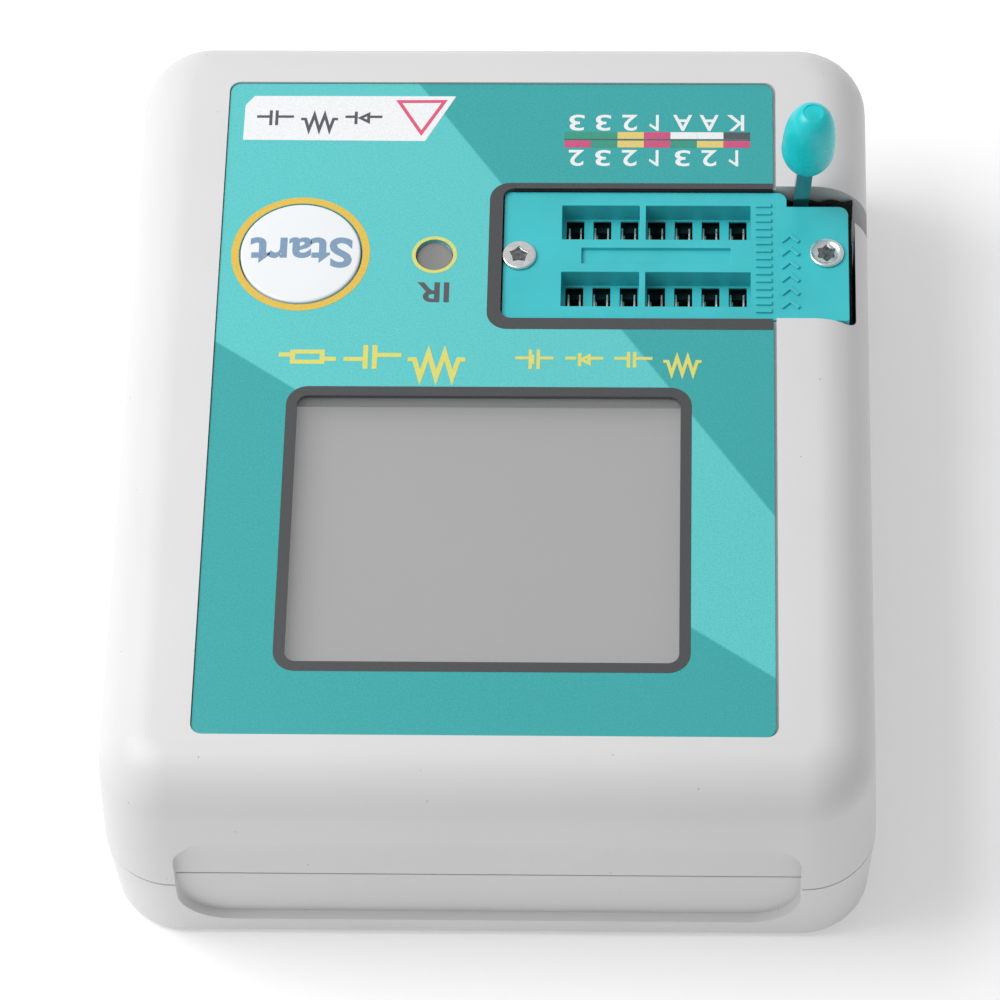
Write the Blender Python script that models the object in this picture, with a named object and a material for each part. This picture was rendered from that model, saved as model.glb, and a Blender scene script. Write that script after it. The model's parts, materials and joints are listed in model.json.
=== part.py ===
"""Pocket component tester: a two-part case with a printed overlay, a display behind a pane,
a start button, an infrared window and a 14-way zero-insertion-force socket with its lever.

Metres, +Z up. The origin is the middle of the face that the case rests on. +Y points to the
socket end, +X to the side where the lever folds out.
"""
from math import cos, pi, radians, sin

import bmesh
import bpy
from mathutils import Matrix, Vector

# ---------------------------------------------------------------- driving sizes
GAP = 0.0003                   # free space between two pieces that touch or rest on each other

CASE_WIDTH = 0.0697            # X, at the seam
CASE_LENGTH = 0.0853           # Y, at the seam
CASE_HEIGHT = 0.0256
SEAM_HEIGHT = 0.0098
WALL = 0.0024
LID = 0.0024
FLOOR = 0.0022
DRAFT = 0.0005                 # how far each wall leans in, away from the seam
PLAN_RADIUS = 0.0065           # upright corners
TOP_RADIUS = 0.0050            # rounded edge of the lid
BOTTOM_RADIUS = 0.0010
LIP_HEIGHT = 0.0015
LIP_WALL = 0.0010
LIP_BAND = 0.0030              # thicker band of wall that carries the lip

LABEL_X, LABEL_Y = -0.00015, -0.00015
LABEL_WIDTH = 0.05153
LABEL_LENGTH = 0.07194
LABEL_THICK = 0.0003
LABEL_RADIUS = 0.0010
LABEL_SUNK = 0.0003            # label face below the lid's top

WINDOW_X, WINDOW_Y = -0.000485, -0.0143
WINDOW_WIDTH = 0.0351
WINDOW_LENGTH = 0.0285
WINDOW_RADIUS = 0.0010
PANE_OVERLAP = 0.0007          # pane edge hidden under the label

GRIP_WIDTH = 0.0561            # shallow recess in each end wall
GRIP_HEIGHT = 0.0137
GRIP_DEPTH = 0.0013
GRIP_UPPER_RADIUS = 0.0033
GRIP_LOWER_RADIUS = 0.0047

BUTTON_X, BUTTON_Y = -0.01844, 0.01589
BUTTON_RADIUS = 0.00561
BUTTON_PROUD = 0.00035
BUTTON_TRAVEL = 0.0004
BUTTON_RUNNING_GAP = 0.00015
BUTTON_SKIRT = 0.0011
SWITCH_SIZE = 0.0062
SWITCH_HEIGHT = 0.0035
PLUNGER_RADIUS = 0.0017

IR_X, IR_Y = -0.00594, 0.01582
IR_HOLE_RADIUS = 0.00177
IR_DEPTH = 0.00115             # dark window below the label face

BOARD_THICK = 0.0016
BOARD_CLEARANCE = 0.00075      # board edge to the side walls
TONGUE_WIDTH = 0.0240          # the board's tongue that carries the charging inlet

PIN_PITCH = 0.00254            # the socket's standard spacing
PIN_COUNT = 7
PIN_GROUP = 3                  # slots on the left of the rib
ROW_SPACING = 3 * PIN_PITCH
SOCKET_Y = 0.01611             # middle line of the socket
SOCKET_FROM_SIDE = 0.00225     # cover's right end to the case's side
SOCKET_HEIGHT = 0.0101
CONTACTS_FROM_END = 0.0179     # middle of the contact field to the cover's right end
COVER_LENGTH = 0.03215
COVER_WIDTH = 0.0146
COVER_SUNK = 0.0003            # cover face below the label face
COVER_THICK = 0.0032
COVER_STEP_LENGTH = 0.00573    # the cover's right end is narrower, to clear the lever
COVER_STEP = 0.0016
TROUGH_LENGTH = 0.0176
TROUGH_WIDTH = 0.0039
TROUGH_DEPTH = 0.0023
TROUGH_RIB = 0.00057
SLOT_WIDTH = 0.00166
MARK_LENGTH = 0.0139
MARK_WIDTH = 0.0018
MARK_DEPTH = 0.00025
RIVET_FROM_LEFT = 0.00137
RIVET_FROM_RIGHT = 0.00205
RIVET_OFFSET_Y = 0.00024       # off the socket's middle line
RIVET_RADIUS = 0.0015
TINE_THICK = 0.00022
TINE_DEPTH = 0.0020
TINE_SPREAD = 0.00065          # half the outer width of the fork
SLIDER_TRAVEL = 0.0006
SLIDER_THICK = 0.0014
SLIDER_BAR = 0.0004            # bar between two slider slots

LEVER_FROM_END = 0.00467       # pivot to the cover's right end
LEVER_DROP = 0.0044            # pivot below the cover's face
LEVER_LEAN = radians(3.7)
LEVER_WIDTH = 0.0016
LEVER_THICK = 0.0010
LEVER_SHAFT_RADIUS = 0.0012
CAM_RADIUS = 0.0020
CAM_WIDTH = 0.0030
KNOB_START = 0.0094            # from the pivot to the knob's lower end
KNOB_LENGTH = 0.0086
KNOB_WIDEST = 0.0030
KNOB_RADIUS = 0.00252
KNOB_FOOT_RADIUS = 0.0012
TANG_RADIUS = 0.0006
TANG_LENGTH = 0.0040

NOTCH_WALL = 0.0011            # what is left of the side wall beside the socket
LEVER_SLOT_LENGTH = 0.00287
LEVER_SLOT_DROP = 0.0041       # slot's floor below the pivot

PANEL_WIDTH = 0.0435
PANEL_LENGTH = 0.0340
PANEL_THICK = 0.00175
PANEL_DEPTH = 0.00285          # display face below the label face
PANEL_RIGHT_MARGIN = 0.0020
FRAME_WALL = 0.0005
BRACKET_WALL = 0.0012

BATTERY_WIDTH, BATTERY_LENGTH, BATTERY_THICK = 0.0300, 0.0350, 0.0050
BATTERY_Y = -0.0105
TAPE_THICK = 0.0008
LEAD_RADIUS = 0.0006
USB_WIDTH, USB_DEPTH, USB_HEIGHT = 0.0075, 0.0052, 0.0026

CASE_SCREW_INSET = 0.0075
CASE_SCREW_RADIUS = 0.00105
CASE_SCREW_HEAD = 0.0022
CASE_SCREW_LEDGE = 0.0055
CASE_BOSS_RADIUS = 0.0032
BOARD_SCREW_INSET = 0.0027
BOARD_SCREW_RADIUS = 0.0007
BOARD_SCREW_HEAD = 0.0017
BOARD_BOSS_RADIUS = 0.0022

# ---------------------------------------------------------------- sizes that follow from them
HALF_X = CASE_WIDTH / 2
HALF_Y = CASE_LENGTH / 2
LABEL_TOP = CASE_HEIGHT - LABEL_SUNK
LABEL_UNDER = LABEL_TOP - LABEL_THICK
POCKET_FLOOR = LABEL_UNDER - GAP
LID_UNDER = CASE_HEIGHT - LID
UPPER_START = SEAM_HEIGHT + GAP / 2
LOWER_END = SEAM_HEIGHT - GAP / 2
COVER_TOP = LABEL_TOP - COVER_SUNK
COVER_UNDER = COVER_TOP - COVER_THICK
COVER_NEAR = SOCKET_Y - COVER_WIDTH / 2
COVER_FAR = SOCKET_Y + COVER_WIDTH / 2
COVER_RIGHT = HALF_X - SOCKET_FROM_SIDE
COVER_LEFT = COVER_RIGHT - COVER_LENGTH
COVER_STEP_X = COVER_RIGHT - COVER_STEP_LENGTH
SOCKET_X = COVER_RIGHT - CONTACTS_FROM_END
RIVET_LEFT_X = COVER_LEFT + RIVET_FROM_LEFT
RIVET_RIGHT_X = COVER_RIGHT - RIVET_FROM_RIGHT
RIVET_Y = SOCKET_Y + RIVET_OFFSET_Y
ON_BOARD = COVER_TOP - SOCKET_HEIGHT
BOARD_TOP = ON_BOARD - GAP
BOARD_UNDER = BOARD_TOP - BOARD_THICK
BELOW_BOARD = BOARD_UNDER - GAP
OPENING_LEFT = COVER_LEFT - GAP
OPENING_RIGHT = HALF_X - DRAFT - NOTCH_WALL
OPENING_NEAR = COVER_NEAR - GAP
OPENING_FAR = COVER_FAR + GAP
LEVER_X = COVER_RIGHT - LEVER_FROM_END
LEVER_Y = (COVER_FAR - COVER_STEP + OPENING_FAR) / 2
LEVER_Z = COVER_TOP - LEVER_DROP
LEVER_SLOT_BOTTOM = LEVER_Z - LEVER_SLOT_DROP
CASE_SCREW_X = HALF_X - CASE_SCREW_INSET
CASE_SCREW_Y = HALF_Y - CASE_SCREW_INSET
BOARD_WIDTH = CASE_WIDTH - 2 * (WALL + DRAFT + BOARD_CLEARANCE)
BOARD_LENGTH = 2 * (CASE_SCREW_Y - CASE_BOSS_RADIUS - GAP)
BOARD_SCREW_X = BOARD_WIDTH / 2 - BOARD_SCREW_INSET
BOARD_SCREW_Y = BOARD_LENGTH / 2 - BOARD_SCREW_INSET
SLIDER_TOP = COVER_UNDER - GAP
SLIDER_UNDER = SLIDER_TOP - SLIDER_THICK
POCKET_IN_BASE = SLIDER_UNDER - GAP
PANEL_TOP = LABEL_TOP - PANEL_DEPTH
PANEL_UNDER = PANEL_TOP - PANEL_THICK
PANEL_RIGHT = WINDOW_X + WINDOW_WIDTH / 2 + PANEL_RIGHT_MARGIN
PANEL_LEFT = PANEL_RIGHT - PANEL_WIDTH
FRAME_UNDER = PANEL_UNDER - GAP - FRAME_WALL
BATTERY_UNDER = FLOOR + GAP + TAPE_THICK + GAP
GRIP_MIDDLE = SEAM_HEIGHT
FAR_OUT = 0.02                 # more than any cut is deep

ABS_GREY = (0.80, 0.80, 0.81)
TEAL = (0.08, 0.56, 0.58)
TEAL_BRIGHT = (0.10, 0.62, 0.65)
STEEL = (0.70, 0.70, 0.72)
SILVER = (0.85, 0.85, 0.86)
DARK = (0.03, 0.03, 0.035)


# ---------------------------------------------------------------- outlines
def corner_arc(before, corner, after, radius, steps):
    """Points of a fillet at one corner of an outline."""
    into = (before - corner).normalized()
    out = (after - corner).normalized()
    half = into.angle(out) / 2
    if radius <= 0 or abs(half - pi / 2) < 1e-4:
        return [corner]
    reach = radius / sin(half)
    centre = corner + (into + out).normalized() * reach
    start = corner + into * (radius * cos(half) / sin(half)) - centre
    end = corner + out * (radius * cos(half) / sin(half)) - centre
    sweep = start.angle_signed(end)
    return [centre + Matrix.Rotation(-sweep * i / steps, 2) @ start for i in range(steps + 1)]


def outline(corners, steps=4):
    """Closed outline from (u, v, radius) corners."""
    points = []
    count = len(corners)
    for i, (u, v, radius) in enumerate(corners):
        before = Vector(corners[i - 1][:2])
        after = Vector(corners[(i + 1) % count][:2])
        points += corner_arc(before, Vector((u, v)), after, radius, steps)
    return points


def rectangle(u0, v0, u1, v1, radius=0.0, steps=4):
    return outline([(u0, v0, radius), (u1, v0, radius), (u1, v1, radius), (u0, v1, radius)], steps)


def centred(u, v, width, length, radius=0.0, steps=4):
    return rectangle(u - width / 2, v - length / 2, u + width / 2, v + length / 2, radius, steps)


def circle(u, v, radius, steps=32):
    return [Vector((u + radius * cos(2 * pi * i / steps), v + radius * sin(2 * pi * i / steps)))
            for i in range(steps)]


# ---------------------------------------------------------------- solids
def prism(points, low, high, axis="Z", mesh=None):
    """Outline pulled from low to high along an axis, added to a bmesh."""
    mesh = mesh or bmesh.new()
    place = {"Z": lambda u, v: (u, v, low), "Y": lambda u, v: (u, low, v),
             "X": lambda u, v: (low, u, v)}[axis]
    shift = Vector({"Z": (0, 0, 1), "Y": (0, 1, 0), "X": (1, 0, 0)}[axis]) * (high - low)
    face = mesh.faces.new([mesh.verts.new(place(*point)) for point in points])
    pulled = bmesh.ops.extrude_face_region(mesh, geom=[face], use_keep_orig=True)
    moved = [item for item in pulled["geom"] if isinstance(item, bmesh.types.BMVert)]
    bmesh.ops.translate(mesh, verts=moved, vec=shift)
    bmesh.ops.recalc_face_normals(mesh, faces=mesh.faces)
    return mesh


def block(low, high, mesh=None):
    return prism(rectangle(low[0], low[1], high[0], high[1]), low[2], high[2], mesh=mesh)


def turned(profile, steps=24):
    """Solid of revolution about Z from (radius, z) points; both ends lie on the axis."""
    mesh = bmesh.new()
    verts = [mesh.verts.new((radius, 0, z)) for radius, z in profile]
    edges = [mesh.edges.new(pair) for pair in zip(verts, verts[1:])]
    bmesh.ops.spin(mesh, geom=verts + edges, cent=(0, 0, 0), axis=(0, 0, 1), angle=2 * pi,
                   steps=steps, use_merge=True)
    bmesh.ops.remove_doubles(mesh, verts=mesh.verts, dist=1e-6)
    bmesh.ops.recalc_face_normals(mesh, faces=mesh.faces)
    return mesh


def lofted(sections, steps=6):
    """Closed skin over rounded rectangles given as (inset, z), the first and last capped."""
    mesh = bmesh.new()
    loops = []
    for inset, z in sections:
        radius = max(PLAN_RADIUS - inset, 0.0008)
        points = centred(0, 0, CASE_WIDTH - 2 * inset, CASE_LENGTH - 2 * inset, radius, steps)
        loops.append([mesh.verts.new((u, v, z)) for u, v in points])
    for below, above in zip(loops, loops[1:]):
        for i in range(len(below)):
            mesh.faces.new((below[i - 1], below[i], above[i], above[i - 1]))
    mesh.faces.new(loops[0])
    mesh.faces.new(loops[-1])
    bmesh.ops.recalc_face_normals(mesh, faces=mesh.faces)
    return mesh


def moved(mesh, x=0.0, y=0.0, z=0.0):
    bmesh.ops.translate(mesh, verts=mesh.verts, vec=(x, y, z))
    return mesh


def finish_for(name, colour, roughness, metallic, alpha=1.0):
    material = bpy.data.materials.new(name)
    material.use_nodes = True
    shader = material.node_tree.nodes["Principled BSDF"]
    shader.inputs["Base Color"].default_value = (*colour, 1.0)
    shader.inputs["Roughness"].default_value = roughness
    shader.inputs["Metallic"].default_value = metallic
    shader.inputs["Alpha"].default_value = alpha
    return material


def add(name, mesh, colour=ABS_GREY, roughness=0.5, metallic=0.0, alpha=1.0):
    """One named sub-part from a bmesh."""
    data = bpy.data.meshes.new(name)
    mesh.to_mesh(data)
    mesh.free()
    data.shade_smooth()
    data.set_sharp_from_angle(angle=radians(32))
    part = bpy.data.objects.new(name, data)
    bpy.context.scene.collection.objects.link(part)
    data.materials.append(finish_for(name, colour, roughness, metallic, alpha))
    return part


def combine(part, tool_mesh, operation):
    """Cut or join a tool into a sub-part with an exact Boolean, and keep the result."""
    data = bpy.data.meshes.new("tool")
    tool_mesh.to_mesh(data)
    tool_mesh.free()
    tool = bpy.data.objects.new("tool", data)
    tool.hide_render = True
    tool.display_type = "WIRE"
    bpy.context.scene.collection.objects.link(tool)
    step = part.modifiers.new("step", "BOOLEAN")
    step.operation = operation
    step.solver = "EXACT"
    step.object = tool
    shaped = part.evaluated_get(bpy.context.evaluated_depsgraph_get())
    result = bpy.data.meshes.new_from_object(shaped)
    part.modifiers.remove(step)
    old = part.data
    part.data = result
    bpy.data.objects.remove(tool)
    bpy.data.meshes.remove(data)
    bpy.data.meshes.remove(old)
    result.name = part.name


def cut(part, *tool_meshes):
    for tool_mesh in tool_meshes:
        combine(part, tool_mesh, "DIFFERENCE")


def join(part, *tool_meshes):
    for tool_mesh in tool_meshes:
        combine(part, tool_mesh, "UNION")


def corners_of(x, y):
    return [(side_x * x, side_y * y) for side_y in (-1, 1) for side_x in (-1, 1)]


def contact_places():
    """(row, column, x, y) of the fourteen contacts."""
    for row in (1, 2):
        y = SOCKET_Y + ROW_SPACING * (row - 1.5)
        for column in range(1, PIN_COUNT + 1):
            x = SOCKET_X + PIN_PITCH * (column - (PIN_COUNT + 1) / 2)
            yield row, column, x, y


# ---------------------------------------------------------------- case
def arc_sections(inset, z, radius, start, end, steps):
    """(inset, z) points on a quarter round about (inset, z)."""
    return [(inset - radius * cos(start + (end - start) * i / steps),
             z + radius * sin(start + (end - start) * i / steps)) for i in range(steps + 1)]


def grip_recess(end):
    """Stadium-shaped recess in the end wall on side end (-1 near, 1 far)."""
    left, right = -GRIP_WIDTH / 2, GRIP_WIDTH / 2
    low, high = GRIP_MIDDLE - GRIP_HEIGHT / 2, GRIP_MIDDLE + GRIP_HEIGHT / 2
    points = outline([(left, low, GRIP_LOWER_RADIUS), (right, low, GRIP_LOWER_RADIUS),
                      (right, high, GRIP_UPPER_RADIUS), (left, high, GRIP_UPPER_RADIUS)], 6)
    floor = end * (HALF_Y - GRIP_DEPTH)
    return prism(points, min(floor, end * FAR_OUT * 3), max(floor, end * FAR_OUT * 3), "Y")


def usb_opening(bottom):
    half = USB_WIDTH / 2 + GAP
    return block((-half, HALF_Y - WALL - FAR_OUT / 10, bottom), (half, HALF_Y + FAR_OUT, BOARD_UNDER))


def make_upper_shell():
    lean_end = CASE_HEIGHT - TOP_RADIUS
    inner_radius = TOP_RADIUS - LID
    outside = arc_sections(DRAFT + TOP_RADIUS, lean_end, TOP_RADIUS, 0, pi / 2, 6)
    inside = arc_sections(WALL + DRAFT + inner_radius, LID_UNDER - inner_radius, inner_radius,
                          0, pi / 2, 3)
    shell = add("upper_shell", lofted(inside[::-1] + [(WALL, UPPER_START), (0, UPPER_START)]
                                      + outside), ABS_GREY, 0.45)
    for x, y in corners_of(CASE_SCREW_X, CASE_SCREW_Y):
        join(shell, prism(circle(x, y, CASE_BOSS_RADIUS - GAP, 20), UPPER_START, LID_UNDER + LID / 4))
        hole = CASE_SCREW_RADIUS + GAP
        cut(shell, prism(circle(x, y, hole, 14), 0, CASE_HEIGHT - 2 * LID))
    for x, y in corners_of(BOARD_SCREW_X, BOARD_SCREW_Y):
        join(shell, prism(circle(x, y, BOARD_BOSS_RADIUS, 16), ON_BOARD, LID_UNDER + LID / 4))
        hole = BOARD_SCREW_RADIUS + GAP
        cut(shell, prism(circle(x, y, hole, 12), 0, CASE_HEIGHT - 2 * LID))
    pocket = centred(LABEL_X, LABEL_Y, LABEL_WIDTH + 2 * GAP, LABEL_LENGTH + 2 * GAP,
                     LABEL_RADIUS + GAP, 4)
    cut(shell, prism(pocket, POCKET_FLOOR, CASE_HEIGHT + FAR_OUT))
    pane_hole = 2 * (PANE_OVERLAP + GAP)
    cut(shell, prism(centred(WINDOW_X, WINDOW_Y, WINDOW_WIDTH + pane_hole, WINDOW_LENGTH + pane_hole,
                             WINDOW_RADIUS, 4), LID_UNDER - LID, CASE_HEIGHT + FAR_OUT))
    cut(shell, prism(circle(BUTTON_X, BUTTON_Y, BUTTON_RADIUS + GAP, 40), LID_UNDER - LID,
                     CASE_HEIGHT + FAR_OUT))
    cut(shell, prism(circle(IR_X, IR_Y, IR_HOLE_RADIUS, 24), LID_UNDER - LID, CASE_HEIGHT + FAR_OUT))
    cut(shell, block((OPENING_LEFT, OPENING_NEAR, BOARD_UNDER),
                     (OPENING_RIGHT, OPENING_FAR, CASE_HEIGHT + FAR_OUT)))
    cut(shell, block((OPENING_RIGHT - WALL, OPENING_FAR - LEVER_SLOT_LENGTH, LEVER_SLOT_BOTTOM),
                     (HALF_X + FAR_OUT, OPENING_FAR, CASE_HEIGHT + FAR_OUT)))
    cut(shell, grip_recess(-1), grip_recess(1), usb_opening(SEAM_HEIGHT - GAP))
    return shell


def make_lower_shell():
    foot = arc_sections(DRAFT + BOTTOM_RADIUS, BOTTOM_RADIUS, BOTTOM_RADIUS, -pi / 2, 0, 3)
    lip_out = WALL + GAP
    lip_in = lip_out + LIP_WALL
    band_low = LOWER_END - LIP_BAND
    sections = foot + [
        (0, LOWER_END), (lip_out, LOWER_END), (lip_out, LOWER_END + LIP_HEIGHT),
        (lip_in, LOWER_END + LIP_HEIGHT), (lip_in, band_low), (WALL, band_low - LIP_WALL),
        (WALL + DRAFT, FLOOR)]
    shell = add("lower_shell", lofted(sections), ABS_GREY, 0.5)
    for x, y in corners_of(CASE_SCREW_X, CASE_SCREW_Y):
        join(shell, prism(circle(x, y, CASE_BOSS_RADIUS, 20), FLOOR / 2, LOWER_END))
        well = CASE_SCREW_HEAD + GAP
        cut(shell, prism(circle(x, y, well, 20), -FAR_OUT, CASE_SCREW_LEDGE))
        cut(shell, prism(circle(x, y, CASE_SCREW_RADIUS + GAP, 14), -FAR_OUT, FAR_OUT))
    rib_inner = BATTERY_WIDTH / 2 + GAP
    for side in (-1, 1):
        ends = sorted((side * rib_inner, side * (rib_inner + LIP_WALL)))
        join(shell, block((ends[0], BATTERY_Y - BATTERY_LENGTH / 3, FLOOR / 2),
                          (ends[1], BATTERY_Y + BATTERY_LENGTH / 3, BATTERY_UNDER + BATTERY_THICK / 2)))
    cut(shell, grip_recess(-1), grip_recess(1), usb_opening(LOWER_END - GAP / 2))
    return shell


def make_overlay_label():
    left, right = LABEL_X - LABEL_WIDTH / 2, LABEL_X + LABEL_WIDTH / 2
    near, far = LABEL_Y - LABEL_LENGTH / 2, LABEL_Y + LABEL_LENGTH / 2
    points = outline([(left, near, LABEL_RADIUS), (right, near, LABEL_RADIUS),
                      (right, OPENING_NEAR, 0), (OPENING_LEFT, OPENING_NEAR, LABEL_RADIUS),
                      (OPENING_LEFT, OPENING_FAR, LABEL_RADIUS), (right, OPENING_FAR, 0),
                      (right, far, LABEL_RADIUS), (left, far, LABEL_RADIUS)])
    label = add("overlay_label", prism(points, LABEL_UNDER, LABEL_TOP), TEAL, 0.35)
    low, high = LABEL_UNDER - FAR_OUT, LABEL_TOP + FAR_OUT
    cut(label, prism(centred(WINDOW_X, WINDOW_Y, WINDOW_WIDTH, WINDOW_LENGTH, WINDOW_RADIUS), low, high))
    cut(label, prism(circle(BUTTON_X, BUTTON_Y, BUTTON_RADIUS + BUTTON_RUNNING_GAP, 40), low, high))
    cut(label, prism(circle(IR_X, IR_Y, IR_HOLE_RADIUS, 24), low, high))


def make_case_screws():
    top = CASE_HEIGHT - 2 * LID - 2 * GAP
    head_top = CASE_SCREW_LEDGE - GAP
    head_low = head_top - CASE_SCREW_HEAD * 0.8
    for number, (x, y) in enumerate(corners_of(CASE_SCREW_X, CASE_SCREW_Y), 1):
        mesh = turned([(0, head_low), (CASE_SCREW_HEAD * 0.8, head_low), (CASE_SCREW_HEAD, head_top),
                       (CASE_SCREW_RADIUS, head_top), (CASE_SCREW_RADIUS, top - CASE_SCREW_RADIUS),
                       (0, top)], 16)
        add(f"case_screw_{number}", moved(mesh, x, y), STEEL, 0.35, 1.0)


# ---------------------------------------------------------------- controls and windows
def make_display():
    pane = 2 * PANE_OVERLAP
    add("display_window", prism(centred(WINDOW_X, WINDOW_Y, WINDOW_WIDTH + pane, WINDOW_LENGTH + pane,
                                        WINDOW_RADIUS), LID_UNDER, POCKET_FLOOR),
        (0.9, 0.9, 0.9), 0.05, 0.0, 0.25)
    near, far = WINDOW_Y - PANEL_LENGTH / 2, WINDOW_Y + PANEL_LENGTH / 2
    inner = FRAME_WALL + GAP
    add("display_panel", block((PANEL_LEFT + inner, near + inner, PANEL_UNDER),
                               (PANEL_RIGHT - inner, far - inner, PANEL_TOP)), (0.38, 0.38, 0.38), 0.2)
    frame = add("display_frame", block((PANEL_LEFT, near, FRAME_UNDER), (PANEL_RIGHT, far, PANEL_TOP)),
                STEEL, 0.3, 1.0)
    cut(frame, block((PANEL_LEFT + FRAME_WALL, near + FRAME_WALL, FRAME_UNDER + FRAME_WALL),
                     (PANEL_RIGHT - FRAME_WALL, far - FRAME_WALL, PANEL_TOP + FAR_OUT)))
    bracket_top = FRAME_UNDER - GAP
    bracket = add("display_bracket", block((PANEL_LEFT, near, ON_BOARD), (PANEL_RIGHT, far, bracket_top)),
                  (0.85, 0.85, 0.85), 0.5)
    cut(bracket, block((PANEL_LEFT + BRACKET_WALL, near + BRACKET_WALL, -FAR_OUT),
                       (PANEL_RIGHT - BRACKET_WALL, far - BRACKET_WALL, bracket_top - BRACKET_WALL)))
    make_ribbon(bracket_top)


def make_ribbon(bracket_top):
    """Flexible circuit that bends from the panel's end down to the board."""
    thick = GAP
    bend_top = (PANEL_UNDER + PANEL_TOP) / 2
    radius = (bend_top - ON_BOARD) / 2
    middle = ON_BOARD + radius
    start = PANEL_LEFT - GAP
    turns = [pi / 2 + pi * i / 12 for i in range(13)]
    outer = [Vector((start + radius * cos(a), middle + radius * sin(a))) for a in turns]
    inner = [Vector((start + (radius - thick) * cos(a), middle + (radius - thick) * sin(a)))
             for a in reversed(turns)]
    half = PANEL_LENGTH / 5
    add("display_ribbon", prism(outer + inner, WINDOW_Y - half, WINDOW_Y + half, "Y"),
        (0.55, 0.27, 0.05), 0.4)


def make_start_button():
    under_lid = LID_UNDER - GAP
    flange = under_lid - BUTTON_SKIRT
    plunger_top = ON_BOARD + SWITCH_HEIGHT + PLUNGER_RADIUS
    stem = plunger_top + GAP
    top = LABEL_TOP + BUTTON_PROUD
    skirt = BUTTON_RADIUS + BUTTON_SKIRT
    mesh = turned([(0, stem), (PLUNGER_RADIUS, stem), (PLUNGER_RADIUS, flange), (skirt, flange),
                   (skirt, under_lid), (BUTTON_RADIUS, under_lid),
                   (BUTTON_RADIUS, top - BUTTON_PROUD / 2),
                   (BUTTON_RADIUS - BUTTON_PROUD / 3, top - BUTTON_PROUD / 8),
                   (BUTTON_RADIUS - BUTTON_PROUD * 2, top), (0, top)], 40)
    button = add("start_button", mesh, (0.88, 0.89, 0.90), 0.3)
    button.location = (BUTTON_X, BUTTON_Y, 0)
    well_radius = PLUNGER_RADIUS + GAP
    plunger_low = ON_BOARD + SWITCH_HEIGHT - PLUNGER_RADIUS
    plunger = add("switch_plunger", turned([(0, plunger_low), (PLUNGER_RADIUS, plunger_low),
                                            (PLUNGER_RADIUS, plunger_top), (0, plunger_top)], 20),
                  DARK, 0.4)
    plunger.location = (BUTTON_X, BUTTON_Y, 0)
    base = add("switch_base", prism(centred(BUTTON_X, BUTTON_Y, SWITCH_SIZE, SWITCH_SIZE, GAP, 2),
                                    ON_BOARD, ON_BOARD + SWITCH_HEIGHT), DARK, 0.5)
    well_floor = plunger_low - BUTTON_TRAVEL - GAP
    cut(base, prism(circle(BUTTON_X, BUTTON_Y, well_radius, 20), well_floor, CASE_HEIGHT))


def make_infrared():
    under_lid = LID_UNDER - GAP
    top = LABEL_TOP - IR_DEPTH
    plug = IR_HOLE_RADIUS - GAP
    flange = IR_HOLE_RADIUS + 3 * GAP
    flange_low = under_lid - 3 * GAP
    add("infrared_window", moved(turned([(0, flange_low), (flange, flange_low), (flange, under_lid),
                                         (plug, under_lid), (plug, top), (0, top)], 24), IR_X, IR_Y),
        (0.10, 0.10, 0.11), 0.25)
    receiver_top = flange_low - GAP
    dome = IR_HOLE_RADIUS
    receiver = add("infrared_receiver",
                   block((IR_X - 0.0028, IR_Y - 0.0021, ON_BOARD),
                         (IR_X + 0.0028, IR_Y + 0.0021, receiver_top - dome)), DARK, 0.3)
    points = [(dome * sin(pi / 2 * i / 5), receiver_top - dome + dome * cos(pi / 2 * i / 5))
              for i in range(6)]
    join(receiver, moved(turned(points + [(dome, receiver_top - 2 * dome), (0, receiver_top - 2 * dome)],
                                20), IR_X, IR_Y))


# ---------------------------------------------------------------- circuit board and battery
def make_board():
    wide, long_, tongue = BOARD_WIDTH / 2, BOARD_LENGTH / 2, TONGUE_WIDTH / 2
    tongue_end = HALF_Y - WALL - DRAFT - GAP
    radius = PLAN_RADIUS / 4
    points = outline([(-wide, -long_, radius), (wide, -long_, radius), (wide, long_, radius),
                      (tongue, long_, 0), (tongue, tongue_end, 0), (-tongue, tongue_end, 0),
                      (-tongue, long_, 0), (-wide, long_, radius)])
    board = add("main_board", prism(points, BOARD_UNDER, BOARD_TOP), (0.02, 0.20, 0.08), 0.4)
    holes = bmesh.new()
    for _, _, x, y in contact_places():
        prism(centred(x, y, 2 * (TINE_THICK + GAP), 2 * (TINE_THICK + GAP)), 0, CASE_HEIGHT, mesh=holes)
    for x, y in corners_of(BOARD_SCREW_X, BOARD_SCREW_Y):
        prism(circle(x, y, BOARD_SCREW_RADIUS + GAP, 12), 0, CASE_HEIGHT, mesh=holes)
    cut(board, holes)


def make_board_screws():
    top = CASE_HEIGHT - 2 * LID - 2 * GAP
    low = BELOW_BOARD - BOARD_SCREW_HEAD * 0.8
    for number, (x, y) in enumerate(corners_of(BOARD_SCREW_X, BOARD_SCREW_Y), 1):
        mesh = turned([(0, low), (BOARD_SCREW_HEAD * 0.8, low), (BOARD_SCREW_HEAD, BELOW_BOARD),
                       (BOARD_SCREW_RADIUS, BELOW_BOARD),
                       (BOARD_SCREW_RADIUS, top - BOARD_SCREW_RADIUS), (0, top)], 14)
        add(f"board_screw_{number}", moved(mesh, x, y), STEEL, 0.35, 1.0)


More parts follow.
